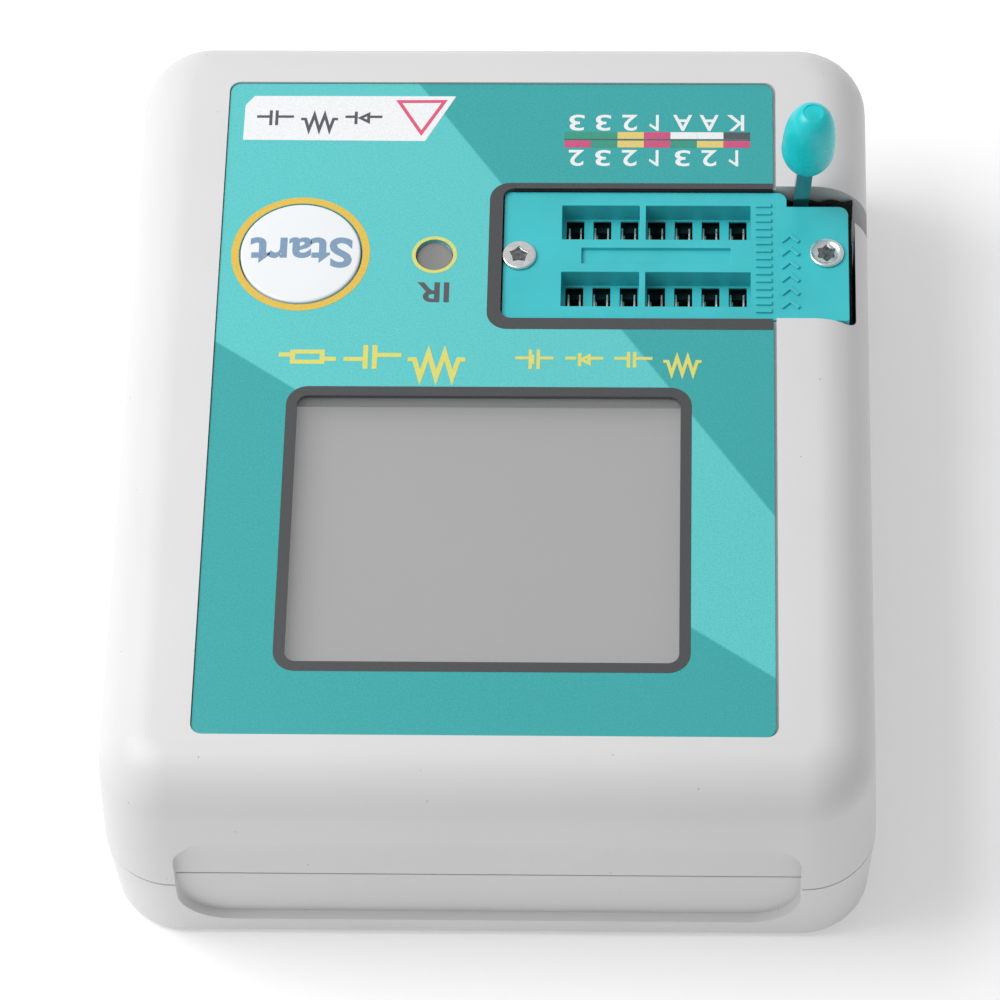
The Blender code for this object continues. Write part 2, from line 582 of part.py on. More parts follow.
def make_board_parts():
    """Chips and the charging inlet under the board: (name, x, y, width, length, height)."""
    chips = [("microcontroller", 0.008, -0.004, 0.0070, 0.0070, 0.0012),
             ("charge_chip", 0.014, 0.027, 0.0049, 0.0039, 0.0014),
             ("crystal", 0.020, -0.004, 0.0045, 0.0110, 0.0030)]
    for name, x, y, width, length, height in chips:
        metal = 1.0 if name == "crystal" else 0.0
        add(name, prism(centred(x, y, width, length, GAP, 2), BELOW_BOARD - height, BELOW_BOARD),
            STEEL if metal else DARK, 0.4, metal)
    mouth = HALF_Y - GRIP_DEPTH - GAP / 2
    low = BELOW_BOARD - USB_HEIGHT
    inlet = add("usb_socket", prism(rectangle(-USB_WIDTH / 2, low, USB_WIDTH / 2, BELOW_BOARD,
                                              2 * GAP, 3), mouth - USB_DEPTH, mouth, "Y"),
                STEEL, 0.3, 1.0)
    cut(inlet, prism(rectangle(-USB_WIDTH / 2 + GAP, low + GAP, USB_WIDTH / 2 - GAP,
                               BELOW_BOARD - GAP, GAP, 3),
                     mouth - USB_DEPTH + GAP, mouth + FAR_OUT, "Y"))
    tongue_low = low + USB_HEIGHT / 2
    add("usb_tongue", block((-USB_WIDTH / 4, mouth - USB_DEPTH + 2 * GAP, tongue_low),
                            (USB_WIDTH / 4, mouth - 2 * GAP, tongue_low + 2 * GAP)), DARK, 0.5)


def make_battery():
    under = BATTERY_UNDER
    half_x, half_y = BATTERY_WIDTH / 2, BATTERY_LENGTH / 2
    end = BATTERY_Y + half_y
    cell = prism(rectangle(-half_x, under, half_x, under + BATTERY_THICK, BATTERY_THICK / 3, 4),
                 BATTERY_Y - half_y, end, "Y")
    add("battery_cell", cell, (0.70, 0.71, 0.73), 0.35, 0.6)
    tape = FLOOR + GAP
    add("battery_tape", block((-half_x / 2, BATTERY_Y - half_y / 2, tape),
                              (half_x / 2, BATTERY_Y + half_y / 2, tape + TAPE_THICK)),
        (0.8, 0.8, 0.75), 0.8)
    plug_x, plug_y, plug_size = -half_x + 0.004, end + 0.0075, 0.0050
    plug_low = BELOW_BOARD - plug_size * 0.8
    add("battery_header", block((plug_x - plug_size * 0.7, plug_y + plug_size / 2 + GAP, plug_low),
                                (plug_x + plug_size * 0.7, plug_y + plug_size * 1.2, BELOW_BOARD)),
        (0.85, 0.84, 0.80), 0.5)
    add("battery_plug", block((plug_x - plug_size / 2, plug_y - plug_size / 2, plug_low),
                              (plug_x + plug_size / 2, plug_y + plug_size / 2,
                               BELOW_BOARD - GAP)), (0.85, 0.84, 0.80), 0.5)
    for name, side, colour in (("battery_lead_red", -1, (0.6, 0.02, 0.02)),
                               ("battery_lead_black", 1, DARK)):
        x = plug_x + side * plug_size / 4
        start = Vector((x, end + GAP, under + BATTERY_THICK / 2))
        finish = Vector((x, plug_y - plug_size / 2 - GAP, plug_low + plug_size * 0.4))
        make_lead(name, start, finish, colour)


def make_lead(name, start, finish, colour):
    """Insulated wire on a smooth S from start to finish, both ends along Y."""
    curve = bpy.data.curves.new(name, "CURVE")
    curve.dimensions = "3D"
    curve.bevel_depth = LEAD_RADIUS
    curve.bevel_resolution = 2
    curve.use_fill_caps = True
    steps = 8
    spline = curve.splines.new("POLY")
    spline.points.add(steps)
    for i, point in enumerate(spline.points):
        share = i / steps
        place = start.lerp(finish, share)
        place.z = start.z + (finish.z - start.z) * (1 - cos(pi * share)) / 2
        point.co = (*place, 1.0)
    lead = bpy.data.objects.new(name, curve)
    bpy.context.scene.collection.objects.link(lead)
    curve.materials.append(finish_for(name, colour, 0.4, 0.0))


# ---------------------------------------------------------------- test socket
def cover_outline(inset):
    """Outline of the socket, with the step that clears the lever."""
    left, right = COVER_LEFT + inset, COVER_RIGHT - inset
    near, far = COVER_NEAR + inset, COVER_FAR - inset
    step_x, step_y = COVER_STEP_X - inset, COVER_FAR - COVER_STEP - inset
    small, large = GAP, 3 * GAP
    return outline([(left, near, small), (right, near, small), (right, step_y, large),
                    (step_x, step_y, 0), (step_x, far, large), (left, far, small)], 3)


def trough_cuts(floor):
    """The two troughs, each split by its rib."""
    mesh = bmesh.new()
    rib = SOCKET_X + PIN_PITCH * (PIN_GROUP - PIN_COUNT / 2)
    left, right = SOCKET_X - TROUGH_LENGTH / 2, SOCKET_X + TROUGH_LENGTH / 2
    for side in (-1, 1):
        y = SOCKET_Y + side * ROW_SPACING / 2
        near, far = y - TROUGH_WIDTH / 2, y + TROUGH_WIDTH / 2
        block((left, near, floor), (rib - TROUGH_RIB / 2, far, FAR_OUT * 2), mesh)
        block((rib + TROUGH_RIB / 2, near, floor), (right, far, FAR_OUT * 2), mesh)
    return mesh


def shaft_cylinder(radius, near, far, steps=16):
    """Cylinder along Y about the lever's pivot, in world coordinates."""
    return prism(circle(LEVER_X, LEVER_Z, radius, steps), near, far, "Y")


def make_socket_cover():
    cover = add("socket_cover", prism(cover_outline(0), COVER_UNDER, COVER_TOP), TEAL_BRIGHT, 0.4)
    cut(cover, trough_cuts(COVER_TOP - TROUGH_DEPTH))
    slots = bmesh.new()
    for _, _, x, y in contact_places():
        prism(centred(x, y, SLOT_WIDTH, TROUGH_WIDTH - GAP), 0, FAR_OUT * 2, mesh=slots)
    cut(cover, slots)
    cut(cover, prism(centred(SOCKET_X, SOCKET_Y, MARK_LENGTH, MARK_WIDTH), COVER_TOP - MARK_DEPTH,
                     COVER_TOP + FAR_OUT))
    cut(cover, shaft_cylinder(LEVER_SHAFT_RADIUS + GAP, COVER_NEAR + WALL / 2, COVER_FAR + FAR_OUT))
    for x in (RIVET_LEFT_X, RIVET_RIGHT_X):
        cut(cover, prism(circle(x, RIVET_Y, rivet_shank() + GAP, 14), 0, FAR_OUT * 2))


def rivet_shank():
    return RIVET_RADIUS * 0.55


def make_socket_base():
    base = add("socket_base", prism(cover_outline(GAP), ON_BOARD, SLIDER_TOP), TEAL, 0.45)
    slider_room = GAP + SLIDER_TRAVEL
    wall = 2 * GAP
    cut(base, block((slider_left() - slider_room, COVER_NEAR + GAP + wall, POCKET_IN_BASE),
                    (LEVER_X, COVER_FAR - GAP - wall, FAR_OUT * 2)))
    wells = bmesh.new()
    for _, _, x, y in contact_places():
        well = 2 * (TINE_SPREAD + GAP)
        prism(centred(x, y, well, TINE_DEPTH + 2 * GAP), ON_BOARD + 2 * GAP, FAR_OUT * 2, mesh=wells)
    cut(base, wells)
    tails = bmesh.new()
    for _, _, x, y in contact_places():
        tail = 2 * (TINE_THICK + GAP)
        prism(centred(x, y, tail, tail), 0, ON_BOARD + 3 * GAP, mesh=tails)
    cut(base, tails)
    cut(base, shaft_cylinder(LEVER_SHAFT_RADIUS + GAP, COVER_NEAR + WALL / 2, COVER_FAR + FAR_OUT))
    reach = CAM_RADIUS + GAP
    cut(base, block((LEVER_X - reach, SOCKET_Y - CAM_WIDTH / 2 - GAP, LEVER_Z - reach - GAP / 2),
                    (LEVER_X + LEVER_SHAFT_RADIUS, SOCKET_Y + CAM_WIDTH / 2 + GAP, FAR_OUT * 2)))
    for x in (RIVET_LEFT_X, RIVET_RIGHT_X):
        cut(base, prism(circle(x, RIVET_Y, rivet_shank() + GAP, 14), 0, FAR_OUT * 2))
        cut(base, prism(circle(x, RIVET_Y, RIVET_RADIUS, 14), 0, ON_BOARD + RIVET_RADIUS))


def slider_left():
    return SOCKET_X - PIN_PITCH * (PIN_COUNT + 1) / 2


def make_slider():
    half_y = COVER_WIDTH / 2 - 4 * GAP
    right = LEVER_X - LEVER_SHAFT_RADIUS - 2 * GAP
    slider = add("socket_slider", block((slider_left(), SOCKET_Y - half_y, SLIDER_UNDER),
                                        (right, SOCKET_Y + half_y, SLIDER_TOP)), TEAL, 0.5)
    slots = bmesh.new()
    for _, _, x, y in contact_places():
        prism(centred(x + SLIDER_TRAVEL / 2, y, PIN_PITCH - SLIDER_BAR, TINE_DEPTH + 2 * GAP),
              0, FAR_OUT * 2, mesh=slots)
    cut(slider, slots)


def make_contacts():
    """Forked spring contacts that share one mesh."""
    bottom, top = ON_BOARD + 3 * GAP, SLIDER_TOP
    tail_low = BOARD_UNDER - 2 * GAP
    spread, thick = TINE_SPREAD, TINE_THICK
    fork = [(-spread, bottom), (spread, bottom), (spread, top), (spread - thick, top),
            (spread - thick, bottom + thick), (-spread + thick, bottom + thick),
            (-spread + thick, top), (-spread, top)]
    first = None
    for row, column, x, y in contact_places():
        name = f"contact_{row}_{column}"
        if first is None:
            first = add(name, prism(fork, -TINE_DEPTH / 2, TINE_DEPTH / 2, "Y"), SILVER, 0.25, 1.0)
            join(first, block((-thick, -thick, tail_low), (thick, thick, bottom + thick / 2)))
            piece = first
        else:
            piece = bpy.data.objects.new(name, first.data)
            bpy.context.scene.collection.objects.link(piece)
        piece.location = (x, y, 0)


def make_rivets():
    shank = rivet_shank()
    low = ON_BOARD + 2 * GAP
    foot = low + RIVET_RADIUS / 2
    head = COVER_TOP + GAP
    crown = head + RIVET_RADIUS * 0.3
    star = outline([(RIVET_RADIUS * share * cos(pi * i / 6), RIVET_RADIUS * share * sin(pi * i / 6), 0)
                    for i, share in enumerate([0.55, 0.36] * 6)])
    for side, x in (("left", RIVET_LEFT_X), ("right", RIVET_RIGHT_X)):
        mesh = turned([(0, low), (RIVET_RADIUS * 0.8, low), (RIVET_RADIUS * 0.8, foot), (shank, foot),
                       (shank, head), (RIVET_RADIUS, head), (RIVET_RADIUS * 0.94, crown - GAP / 2),
                       (RIVET_RADIUS * 0.75, crown), (0, crown)], 20)
        rivet = add(f"socket_rivet_{side}", mesh, SILVER, 0.25, 1.0)
        cut(rivet, prism(star, crown - GAP, crown + FAR_OUT))
        rivet.location = (x, RIVET_Y, 0)


# ---------------------------------------------------------------- lever
def knob_profile():
    """(radius, height) of the egg-shaped grip, from its foot to its crown."""
    steps = 7
    lower = [(KNOB_FOOT_RADIUS + (KNOB_RADIUS - KNOB_FOOT_RADIUS) * sin(pi / 2 * i / steps),
              KNOB_WIDEST * (1 - cos(pi / 2 * i / steps))) for i in range(steps + 1)]
    rise = KNOB_LENGTH - KNOB_WIDEST
    upper = [(KNOB_RADIUS * cos(pi / 2 * i / steps) ** 0.85, KNOB_WIDEST + rise * sin(pi / 2 * i / steps))
             for i in range(1, steps)]
    return [(0, 0)] + lower + upper + [(0, KNOB_LENGTH)]


def make_lever():
    """Arm with its cam shaft, and the knob, both about the pivot and leaning together."""
    pivot = bpy.data.objects.new("lever_pivot", None)
    bpy.context.scene.collection.objects.link(pivot)
    pivot.location = (LEVER_X, LEVER_Y, LEVER_Z)
    pivot.rotation_euler = (0, LEVER_LEAN, 0)
    half = LEVER_WIDTH / 2
    bar_top = KNOB_START - GAP
    bar = outline([(-half, -half, half * 0.98), (half, -half, half * 0.98), (half, bar_top, 0),
                   (-half, bar_top, 0)], 5)
    arm = add("lever_arm", prism(bar, -LEVER_THICK / 2, LEVER_THICK / 2, "Y"), STEEL, 0.25, 1.0)
    shaft_near = COVER_NEAR + WALL / 2 + GAP - LEVER_Y
    join(arm, prism(circle(0, 0, LEVER_SHAFT_RADIUS * 0.6, 16), shaft_near, LEVER_THICK / 4, "Y"))
    collar_far = COVER_FAR - COVER_STEP - 2 * GAP - LEVER_Y
    join(arm, prism(circle(0, 0, LEVER_SHAFT_RADIUS, 16), shaft_near - GAP / 10, collar_far, "Y"))
    cam_near, cam_far = SOCKET_Y - CAM_WIDTH / 2 - LEVER_Y, SOCKET_Y + CAM_WIDTH / 2 - LEVER_Y
    cam = outline([(-GAP * 2, -CAM_RADIUS, GAP), (GAP * 2, -CAM_RADIUS, GAP), (GAP * 2, 0, 0),
                   (-GAP * 2, 0, 0)], 2)
    join(arm, prism(cam, cam_near, cam_far, "Y"))
    join(arm, prism(circle(0, 0, TANG_RADIUS, 12), bar_top - GAP, bar_top + TANG_LENGTH))
    knob = add("lever_knob", moved(turned(knob_profile(), 28), z=KNOB_START), TEAL_BRIGHT, 0.45)
    cut(knob, prism(circle(0, 0, TANG_RADIUS + GAP, 12), 0, bar_top + TANG_LENGTH + GAP))
    for piece in (arm, knob):
        piece.parent = pivot


def clear_scene():
    for item in list(bpy.data.objects):
        bpy.data.objects.remove(item)


def main():
    clear_scene()
    make_upper_shell()
    make_lower_shell()
    make_overlay_label()
    make_case_screws()
    make_display()
    make_start_button()
    make_infrared()
    make_board()
    make_board_screws()
    make_board_parts()
    make_battery()
    make_socket_cover()
    make_socket_base()
    make_slider()
    make_contacts()
    make_rivets()
    make_lever()


main()
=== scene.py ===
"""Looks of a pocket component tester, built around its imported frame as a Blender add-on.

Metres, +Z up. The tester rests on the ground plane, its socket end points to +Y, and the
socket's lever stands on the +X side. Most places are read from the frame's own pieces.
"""
import json
from math import cos, pi, radians, sin

import bmesh
import bpy
from bpy.props import FloatProperty, FloatVectorProperty, IntProperty, PointerProperty, StringProperty
from mathutils import Matrix, Vector


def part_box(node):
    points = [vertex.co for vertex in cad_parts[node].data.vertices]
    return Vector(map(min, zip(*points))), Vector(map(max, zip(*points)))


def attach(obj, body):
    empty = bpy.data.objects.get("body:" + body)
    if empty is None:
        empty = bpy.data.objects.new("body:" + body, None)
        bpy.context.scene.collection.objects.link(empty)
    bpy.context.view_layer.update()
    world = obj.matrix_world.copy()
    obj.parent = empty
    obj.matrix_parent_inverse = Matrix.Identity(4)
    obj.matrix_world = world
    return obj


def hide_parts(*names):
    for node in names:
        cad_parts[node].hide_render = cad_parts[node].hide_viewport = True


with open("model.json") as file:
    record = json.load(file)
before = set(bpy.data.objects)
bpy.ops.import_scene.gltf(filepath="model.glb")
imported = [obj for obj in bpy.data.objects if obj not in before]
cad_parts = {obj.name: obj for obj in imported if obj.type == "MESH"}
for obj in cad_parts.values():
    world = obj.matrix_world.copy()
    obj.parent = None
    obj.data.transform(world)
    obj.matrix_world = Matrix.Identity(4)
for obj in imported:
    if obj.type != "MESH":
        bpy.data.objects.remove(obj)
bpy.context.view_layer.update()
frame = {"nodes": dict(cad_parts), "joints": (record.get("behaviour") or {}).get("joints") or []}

bl_info = {
    "name": "Component Tester",
    "version": (1, 0, 0),
    "blender": (4, 5, 0),
    "location": "3D View > Sidebar > Tester",
    "description": "Case, printed overlay, test socket and lever of a pocket component tester",
    "category": "Object",
}

MM = 0.001
GAP = 0.3 * MM                 # free space that the frame keeps between pieces
FAR = 30 * MM                  # further than any cut has to reach

NODES = frame["nodes"]
LABEL_LOW, LABEL_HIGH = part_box("overlay_label")
FILM_TOP = LABEL_HIGH.z + 0.12 * MM        # the film's face lies a little above its frame piece
POCKET_FLOOR = LABEL_LOW.z - 0.03 * MM
SHELL_LOW, SHELL_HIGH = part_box("upper_shell")
BASE_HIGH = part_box("lower_shell")[1]
HALF_X, HALF_Y = SHELL_HIGH.x, SHELL_HIGH.y
LIP_RISE = 1.5 * MM            # how far the lower shell's lip reaches above the seam
SEAM = (SHELL_LOW.z + BASE_HIGH.z - LIP_RISE) / 2
UNDER_LID = SHELL_HIGH.z - 2.4 * MM - GAP     # just below the lid's underside
SCREW_BORE = 1.35 * MM
COVER_LOW, COVER_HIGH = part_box("socket_cover")
PANE_LOW, PANE_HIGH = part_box("display_window")
LEVER_PIVOT = Vector(next(joint["pos_m"] for joint in frame["joints"] if joint["name"] == "lever_fold"))
PIN_COLUMNS = range(1, 8)


def middle_of(node):
    """Middle of a frame piece's box."""
    low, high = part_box(node)
    return (low + high) / 2


BUTTON = middle_of("start_button")
INFRARED = middle_of("infrared_window")
PINS = {(row, column): middle_of(f"contact_{row}_{column}") for row in (1, 2) for column in PIN_COLUMNS}
PIN_PITCH = PINS[1, 2].x - PINS[1, 1].x
SOCKET = (PINS[1, 1] + PINS[2, 7]) / 2
LEFT_RIVET_SHIFT = Vector((0.12, -0.38, 0)) * MM       # it is pressed in a little askew
RIVETS = {"left": middle_of("socket_rivet_left") + LEFT_RIVET_SHIFT,
          "right": middle_of("socket_rivet_right")}


def linear(code):
    """Scene-linear colour of an sRGB hex code."""
    parts = [int(code[i:i + 2], 16) / 255 for i in (1, 3, 5)]
    return tuple(part / 12.92 if part <= 0.04045 else ((part + 0.055) / 1.055) ** 2.4 for part in parts)


# ---------------------------------------------------------------- settings
def length(name, description, default):
    """Setting in metres."""
    return FloatProperty(name=name, description=description, default=default, min=0.0,
                         unit="LENGTH", precision=5)


def colour(name, description, code):
    """Colour setting from a hex code."""
    return FloatVectorProperty(name=name, description=description, default=linear(code), size=3,
                               min=0.0, max=1.0, subtype="COLOR")


class CaseSettings(bpy.types.PropertyGroup):
    wall: length("Wall", "Thickness of the side walls", 2.4 * MM)
    lid: length("Lid", "Thickness of the top", 2.4 * MM)
    floor: length("Floor", "Thickness of the underside", 2.2 * MM)
    draft: length("Draft", "How far each wall leans in from the seam", 0.5 * MM)
    upright_radius: length("Upright radius", "Radius of the four upright corners", 6.5 * MM)
    top_radius: length("Top radius", "Radius round the lid", 5.0 * MM)
    foot_radius: length("Foot radius", "Radius round the underside", 1.0 * MM)
    edge_radius: length("Edge radius", "Small radius that the mould leaves on cut edges", 0.16 * MM)
    lip: length("Lip", "Thickness of the lip inside the seam", 1.0 * MM)
    grip_width: length("Grip width", "Length of the recess in each end wall", 56.1 * MM)
    grip_height: length("Grip height", "Height of the recess in each end wall", 13.7 * MM)
    grip_depth: length("Grip depth", "Depth of the recess in each end wall", 1.3 * MM)
    grip_upper: length("Grip upper radius", "Upper corners of the recess", 3.3 * MM)
    grip_lower: length("Grip lower radius", "Lower corners of the recess", 4.7 * MM)
    notch_wall: length("Notch wall", "What is left of the side wall beside the socket", 1.1 * MM)
    lever_slot: length("Lever slot", "Length of the slot that the lever folds through", 2.87 * MM)
    plastic: colour("Case plastic", "Warm light grey of the two shells", "#DCDBDC")


class PrintSettings(bpy.types.PropertyGroup):
    film_radius: length("Film corner", "Corner radius of the overlay", 1.0 * MM)
    window_radius: length("Window corner", "Corner radius of the overlay's window", 1.0 * MM)
    window_border: length("Window border", "Width of the grey frame round the window", 1.015 * MM)
    ink: length("Ink", "Thickness of the printed ink", 0.02 * MM)
    button_ring: length("Button ring", "Width of the ring round the button", 0.69 * MM)
    infrared_ring: length("Infrared ring", "Width of the ring round the infrared window", 0.34 * MM)
    cell: length("Colour cell", "Length of one cell of the colour strip", 2.5 * MM)
    digit: length("Digit height", "Height of the pin numbers", 1.88 * MM)
    stroke: length("Symbol stroke", "Width of the printed circuit symbols' lines", 0.46 * MM)
    teal: colour("Teal", "Darker tone of the overlay", "#3CACAD")
    teal_light: colour("Light teal", "Lighter band across the overlay", "#62CECF")
    border: colour("Border grey", "Frames round the window and the socket", "#48494B")
    yellow: colour("Ring yellow", "Rings round the button and the infrared window", "#E3BE4C")
    symbol: colour("Symbol yellow", "Circuit symbols above the window", "#DDD972")
    white: colour("Print white", "Pin numbers and the tag", "#F0F2F4")
    pocket_gap: length("Pocket gap", "Space between the film and its pocket", 0.07 * MM)
    pocket_right: length("Right pocket gap", "The same on the right, where the film stops short", 0.25 * MM)
    legend: colour("Legend blue", "Word on the button", "#7F9CB8")
    dark: colour("Print grey", "Small dark print", "#55585C")
    green: colour("Pin colour 1", "Green of the colour strip", "#3C9A82")
    amber: colour("Pin colour 2", "Yellow of the colour strip", "#E6CC78")
    magenta: colour("Pin colour 3", "Magenta of the colour strip", "#D2527F")
    pink: colour("Tag pink", "Outline of the tag's triangle", "#DE5B7E")


class ControlSettings(bpy.types.PropertyGroup):
    cap_radius: length("Cap radius", "Radius of the button's cap", 5.61 * MM)
    cap_edge: length("Cap edge", "Rounding of the cap's rim", 0.28 * MM)
    running_gap: length("Running gap", "Space between the cap and the overlay", 0.16 * MM)
    infrared_radius: length("Infrared radius", "Radius of the hole over the infrared receiver", 1.74 * MM)
    cap: colour("Cap white", "White of the button's cap", "#EEF1F4")
    infrared: colour("Infrared grey", "Grey of the infrared window", "#868584")
    screen: colour("Screen grey", "Grey of the resting display", "#A9A9A9")


class SocketSettings(bpy.types.PropertyGroup):
    step: length("Step", "Width taken off the cover beside the lever", 1.6 * MM)
    step_length: length("Step length", "Length of the narrower end", 5.73 * MM)
    corner: length("Corner", "Radius of the cover's corners at the lever", 0.9 * MM)
    edge: length("Edge", "Small radius on the cover's moulded edges", 0.1 * MM)
    trough_length: length("Trough length", "Length of each row's trough", 17.6 * MM)
    trough_width: length("Trough width", "Width of each row's trough", 3.9 * MM)
    trough_depth: length("Trough depth", "Depth of each row's trough", 2.3 * MM)
    rib: length("Rib", "Thickness of the rib across each trough", 0.57 * MM)
    slot: length("Slot", "Length of the opening over each contact", 1.66 * MM)
    mark_length: length("Recess length", "Length of the shallow recess between the rows", 13.9 * MM)
    mark_width: length("Recess width", "Width of the shallow recess between the rows", 1.8 * MM)
    mark_depth: length("Recess depth", "Depth of the shallow recess between the rows", 0.4 * MM)
    opening: length("Opening gap", "Space between the cover and the printed border", 0.12 * MM)
    raised: length("Raised marks", "Height of the raised marks on the end plate", 0.2 * MM)
    rivet_radius: length("Rivet radius", "Radius of the rivets' heads", 1.6 * MM)
    group: IntProperty(name="First group", description="Slots on the left of the rib", default=3, min=1)
    plastic: colour("Socket plastic", "Teal of the socket's moulding", "#3CC0C8")
    knob: colour("Knob plastic", "Teal of the lever's knob", "#18CDD2")


class LeverSettings(bpy.types.PropertyGroup):
    lean: FloatProperty(name="Lean", description="How far the lever leans from upright at rest",
                        default=radians(3.7), unit="ROTATION", subtype="ANGLE")
    width: length("Bar width", "Width of the flat bar", 1.45 * MM)
    thick: length("Bar thickness", "Thickness of the flat bar", 1.0 * MM)
    shaft_radius: length("Shaft radius", "Radius of the cam shaft", 1.2 * MM)
    cam_radius: length("Cam radius", "Reach of the cam", 2.0 * MM)
    cam_width: length("Cam width", "Width of the cam", 3.0 * MM)
    knob_start: length("Knob start", "From the pivot to the knob's foot", 9.68 * MM)
    knob_length: length("Knob length", "Length of the knob", 8.3 * MM)
    knob_widest: length("Knob widest", "Height of the widest place above the foot", 2.4 * MM)
    knob_radius: length("Knob radius", "Largest radius of the knob", 2.47 * MM)
    knob_foot: length("Knob foot", "Radius of the knob's foot", 1.2 * MM)


class StageSettings(bpy.types.PropertyGroup):
    lens: FloatProperty(name="Lens", description="Focal length", default=194.49, unit="CAMERA")
    yaw: FloatProperty(name="Yaw", description="Camera turned about the upright axis",
                       default=radians(3.638), subtype="ANGLE", unit="ROTATION")
    tilt: FloatProperty(name="Tilt", description="Camera tipped up from looking straight down",
                        default=radians(33.095), subtype="ANGLE", unit="ROTATION")
    roll: FloatProperty(name="Roll", description="Camera turned about its own line of sight",
                        default=radians(-2.761), subtype="ANGLE", unit="ROTATION")
    ambient: FloatProperty(name="Ambient", description="Strength of the plain surroundings", default=0.5)
    floor: colour("Floor", "Pale floor", "#F6F6F6")


# ---------------------------------------------------------------- mesh tools
def verts_of(result):
    """Vertices among what a mesh operation returned."""
    return [item for item in result["geom"] if isinstance(item, bmesh.types.BMVert)]


def slab(centre, half_x, half_y, low, high):
    """Box round (x, y) between two heights."""
    return block((centre[0] - half_x, centre[1] - half_y, low), (centre[0] + half_x, centre[1] + half_y, high))


def block(low, high, upright_radius=0.0, segments=12):
    """Box between two corners, with its upright edges rounded."""
    low, high = Vector(low), Vector(high)
    mesh = bmesh.new()
    bmesh.ops.create_cube(mesh, size=1.0)
    bmesh.ops.scale(mesh, vec=high - low, verts=mesh.verts)
    bmesh.ops.translate(mesh, vec=(low + high) / 2, verts=mesh.verts)
    if upright_radius:
        upright = [edge for edge in mesh.edges if abs(edge.verts[0].co.z - edge.verts[1].co.z) > MM / 100]
        round_edges(mesh, upright, upright_radius, segments)
    return mesh


def plate(corners, low, high, segments=6):
    """Flat piece from (x, y, corner radius) corners, between two heights."""
    mesh = bmesh.new()
    face = mesh.faces.new([mesh.verts.new((x, y, low)) for x, y, _ in corners])
    lifted = bmesh.ops.extrude_face_region(mesh, geom=[face], use_keep_orig=True)
    bmesh.ops.translate(mesh, vec=(0, 0, high - low), verts=verts_of(lifted))
    bmesh.ops.recalc_face_normals(mesh, faces=mesh.faces)
    for x, y, radius in corners:
        if radius:
            round_edges(mesh, [edge for edge in mesh.edges if stands_at(edge, x, y)], radius, segments)
    return mesh


def stands_at(edge, x, y):
    """True for an upright edge at (x, y)."""
    return all(abs(vert.co.x - x) + abs(vert.co.y - y) < MM / 1000 for vert in edge.verts)


def round_edges(mesh, edges, radius, segments):
    """Rounds some edges of a mesh."""
    bmesh.ops.bevel(mesh, geom=edges, offset=radius, offset_type="OFFSET", segments=segments,
                    profile=0.5, affect="EDGES", clamp_overlap=False, material=-1)


def rod(centre, low, high, radius, segments=32):
    """Upright cylinder at (x, y) between two heights."""
    mesh = bmesh.new()
    bmesh.ops.create_cone(mesh, cap_ends=True, segments=segments, radius1=radius, radius2=radius,
                          depth=high - low)
    bmesh.ops.translate(mesh, vec=(centre[0], centre[1], (low + high) / 2), verts=mesh.verts)
    return mesh


def band(centre, low, high, inner, outer, segments=96):
    """Flat ring at (x, y) between two heights."""
    mesh = bmesh.new()
    bmesh.ops.create_cone(mesh, cap_ends=False, segments=segments, radius1=inner, radius2=inner,
                          depth=high - low)
    rim = [edge for edge in mesh.edges if edge.is_boundary]
    bmesh.ops.delete(mesh, geom=list(mesh.faces), context="FACES_ONLY")
    wall = [edge for edge in mesh.edges if edge not in rim]
    bmesh.ops.delete(mesh, geom=wall, context="EDGES")
    grown = bmesh.ops.extrude_edge_only(mesh, edges=list(mesh.edges))
    verts = verts_of(grown)
    bmesh.ops.scale(mesh, vec=(outer / inner, outer / inner, 1.0), verts=verts)
    bmesh.ops.bridge_loops(mesh, edges=[edge for edge in mesh.edges
                                        if edge.is_boundary and edge.verts[0] not in verts])
    bmesh.ops.bridge_loops(mesh, edges=[edge for edge in mesh.edges if edge.is_boundary])
    bmesh.ops.recalc_face_normals(mesh, faces=mesh.faces)
    bmesh.ops.translate(mesh, vec=(centre[0], centre[1], (low + high) / 2), verts=mesh.verts)
    return mesh


def turned(profile, steps=64):
    """Solid of revolution about Z from (radius, height) points that start and end on the axis."""
    mesh = bmesh.new()
    verts = [mesh.verts.new((radius, 0, height)) for radius, height in profile]
    edges = [mesh.edges.new(pair) for pair in zip(verts, verts[1:])]
    bmesh.ops.spin(mesh, geom=verts + edges, cent=(0, 0, 0), axis=(0, 0, 1), angle=2 * pi,
                   steps=steps, use_merge=True)
    bmesh.ops.remove_doubles(mesh, verts=mesh.verts, dist=MM / 1000)
    bmesh.ops.recalc_face_normals(mesh, faces=mesh.faces)
    return mesh


def line(points, width, low, high, closed=False):
    """Drawn line of one width: an upright strip along the points, thickened sideways."""
    mesh = bmesh.new()
    verts = [mesh.verts.new((x, y, low)) for x, y in points]
    pairs = list(zip(verts, verts[1:])) + ([(verts[-1], verts[0])] if closed else [])
    edges = [mesh.edges.new(pair) for pair in pairs]
    grown = bmesh.ops.extrude_edge_only(mesh, edges=edges)
    bmesh.ops.translate(mesh, vec=(0, 0, high - low), verts=verts_of(grown))
    bmesh.ops.recalc_face_normals(mesh, faces=mesh.faces)
    bmesh.ops.solidify(mesh, geom=list(mesh.faces), thickness=width)
    bmesh.ops.recalc_face_normals(mesh, faces=mesh.faces)
    return mesh


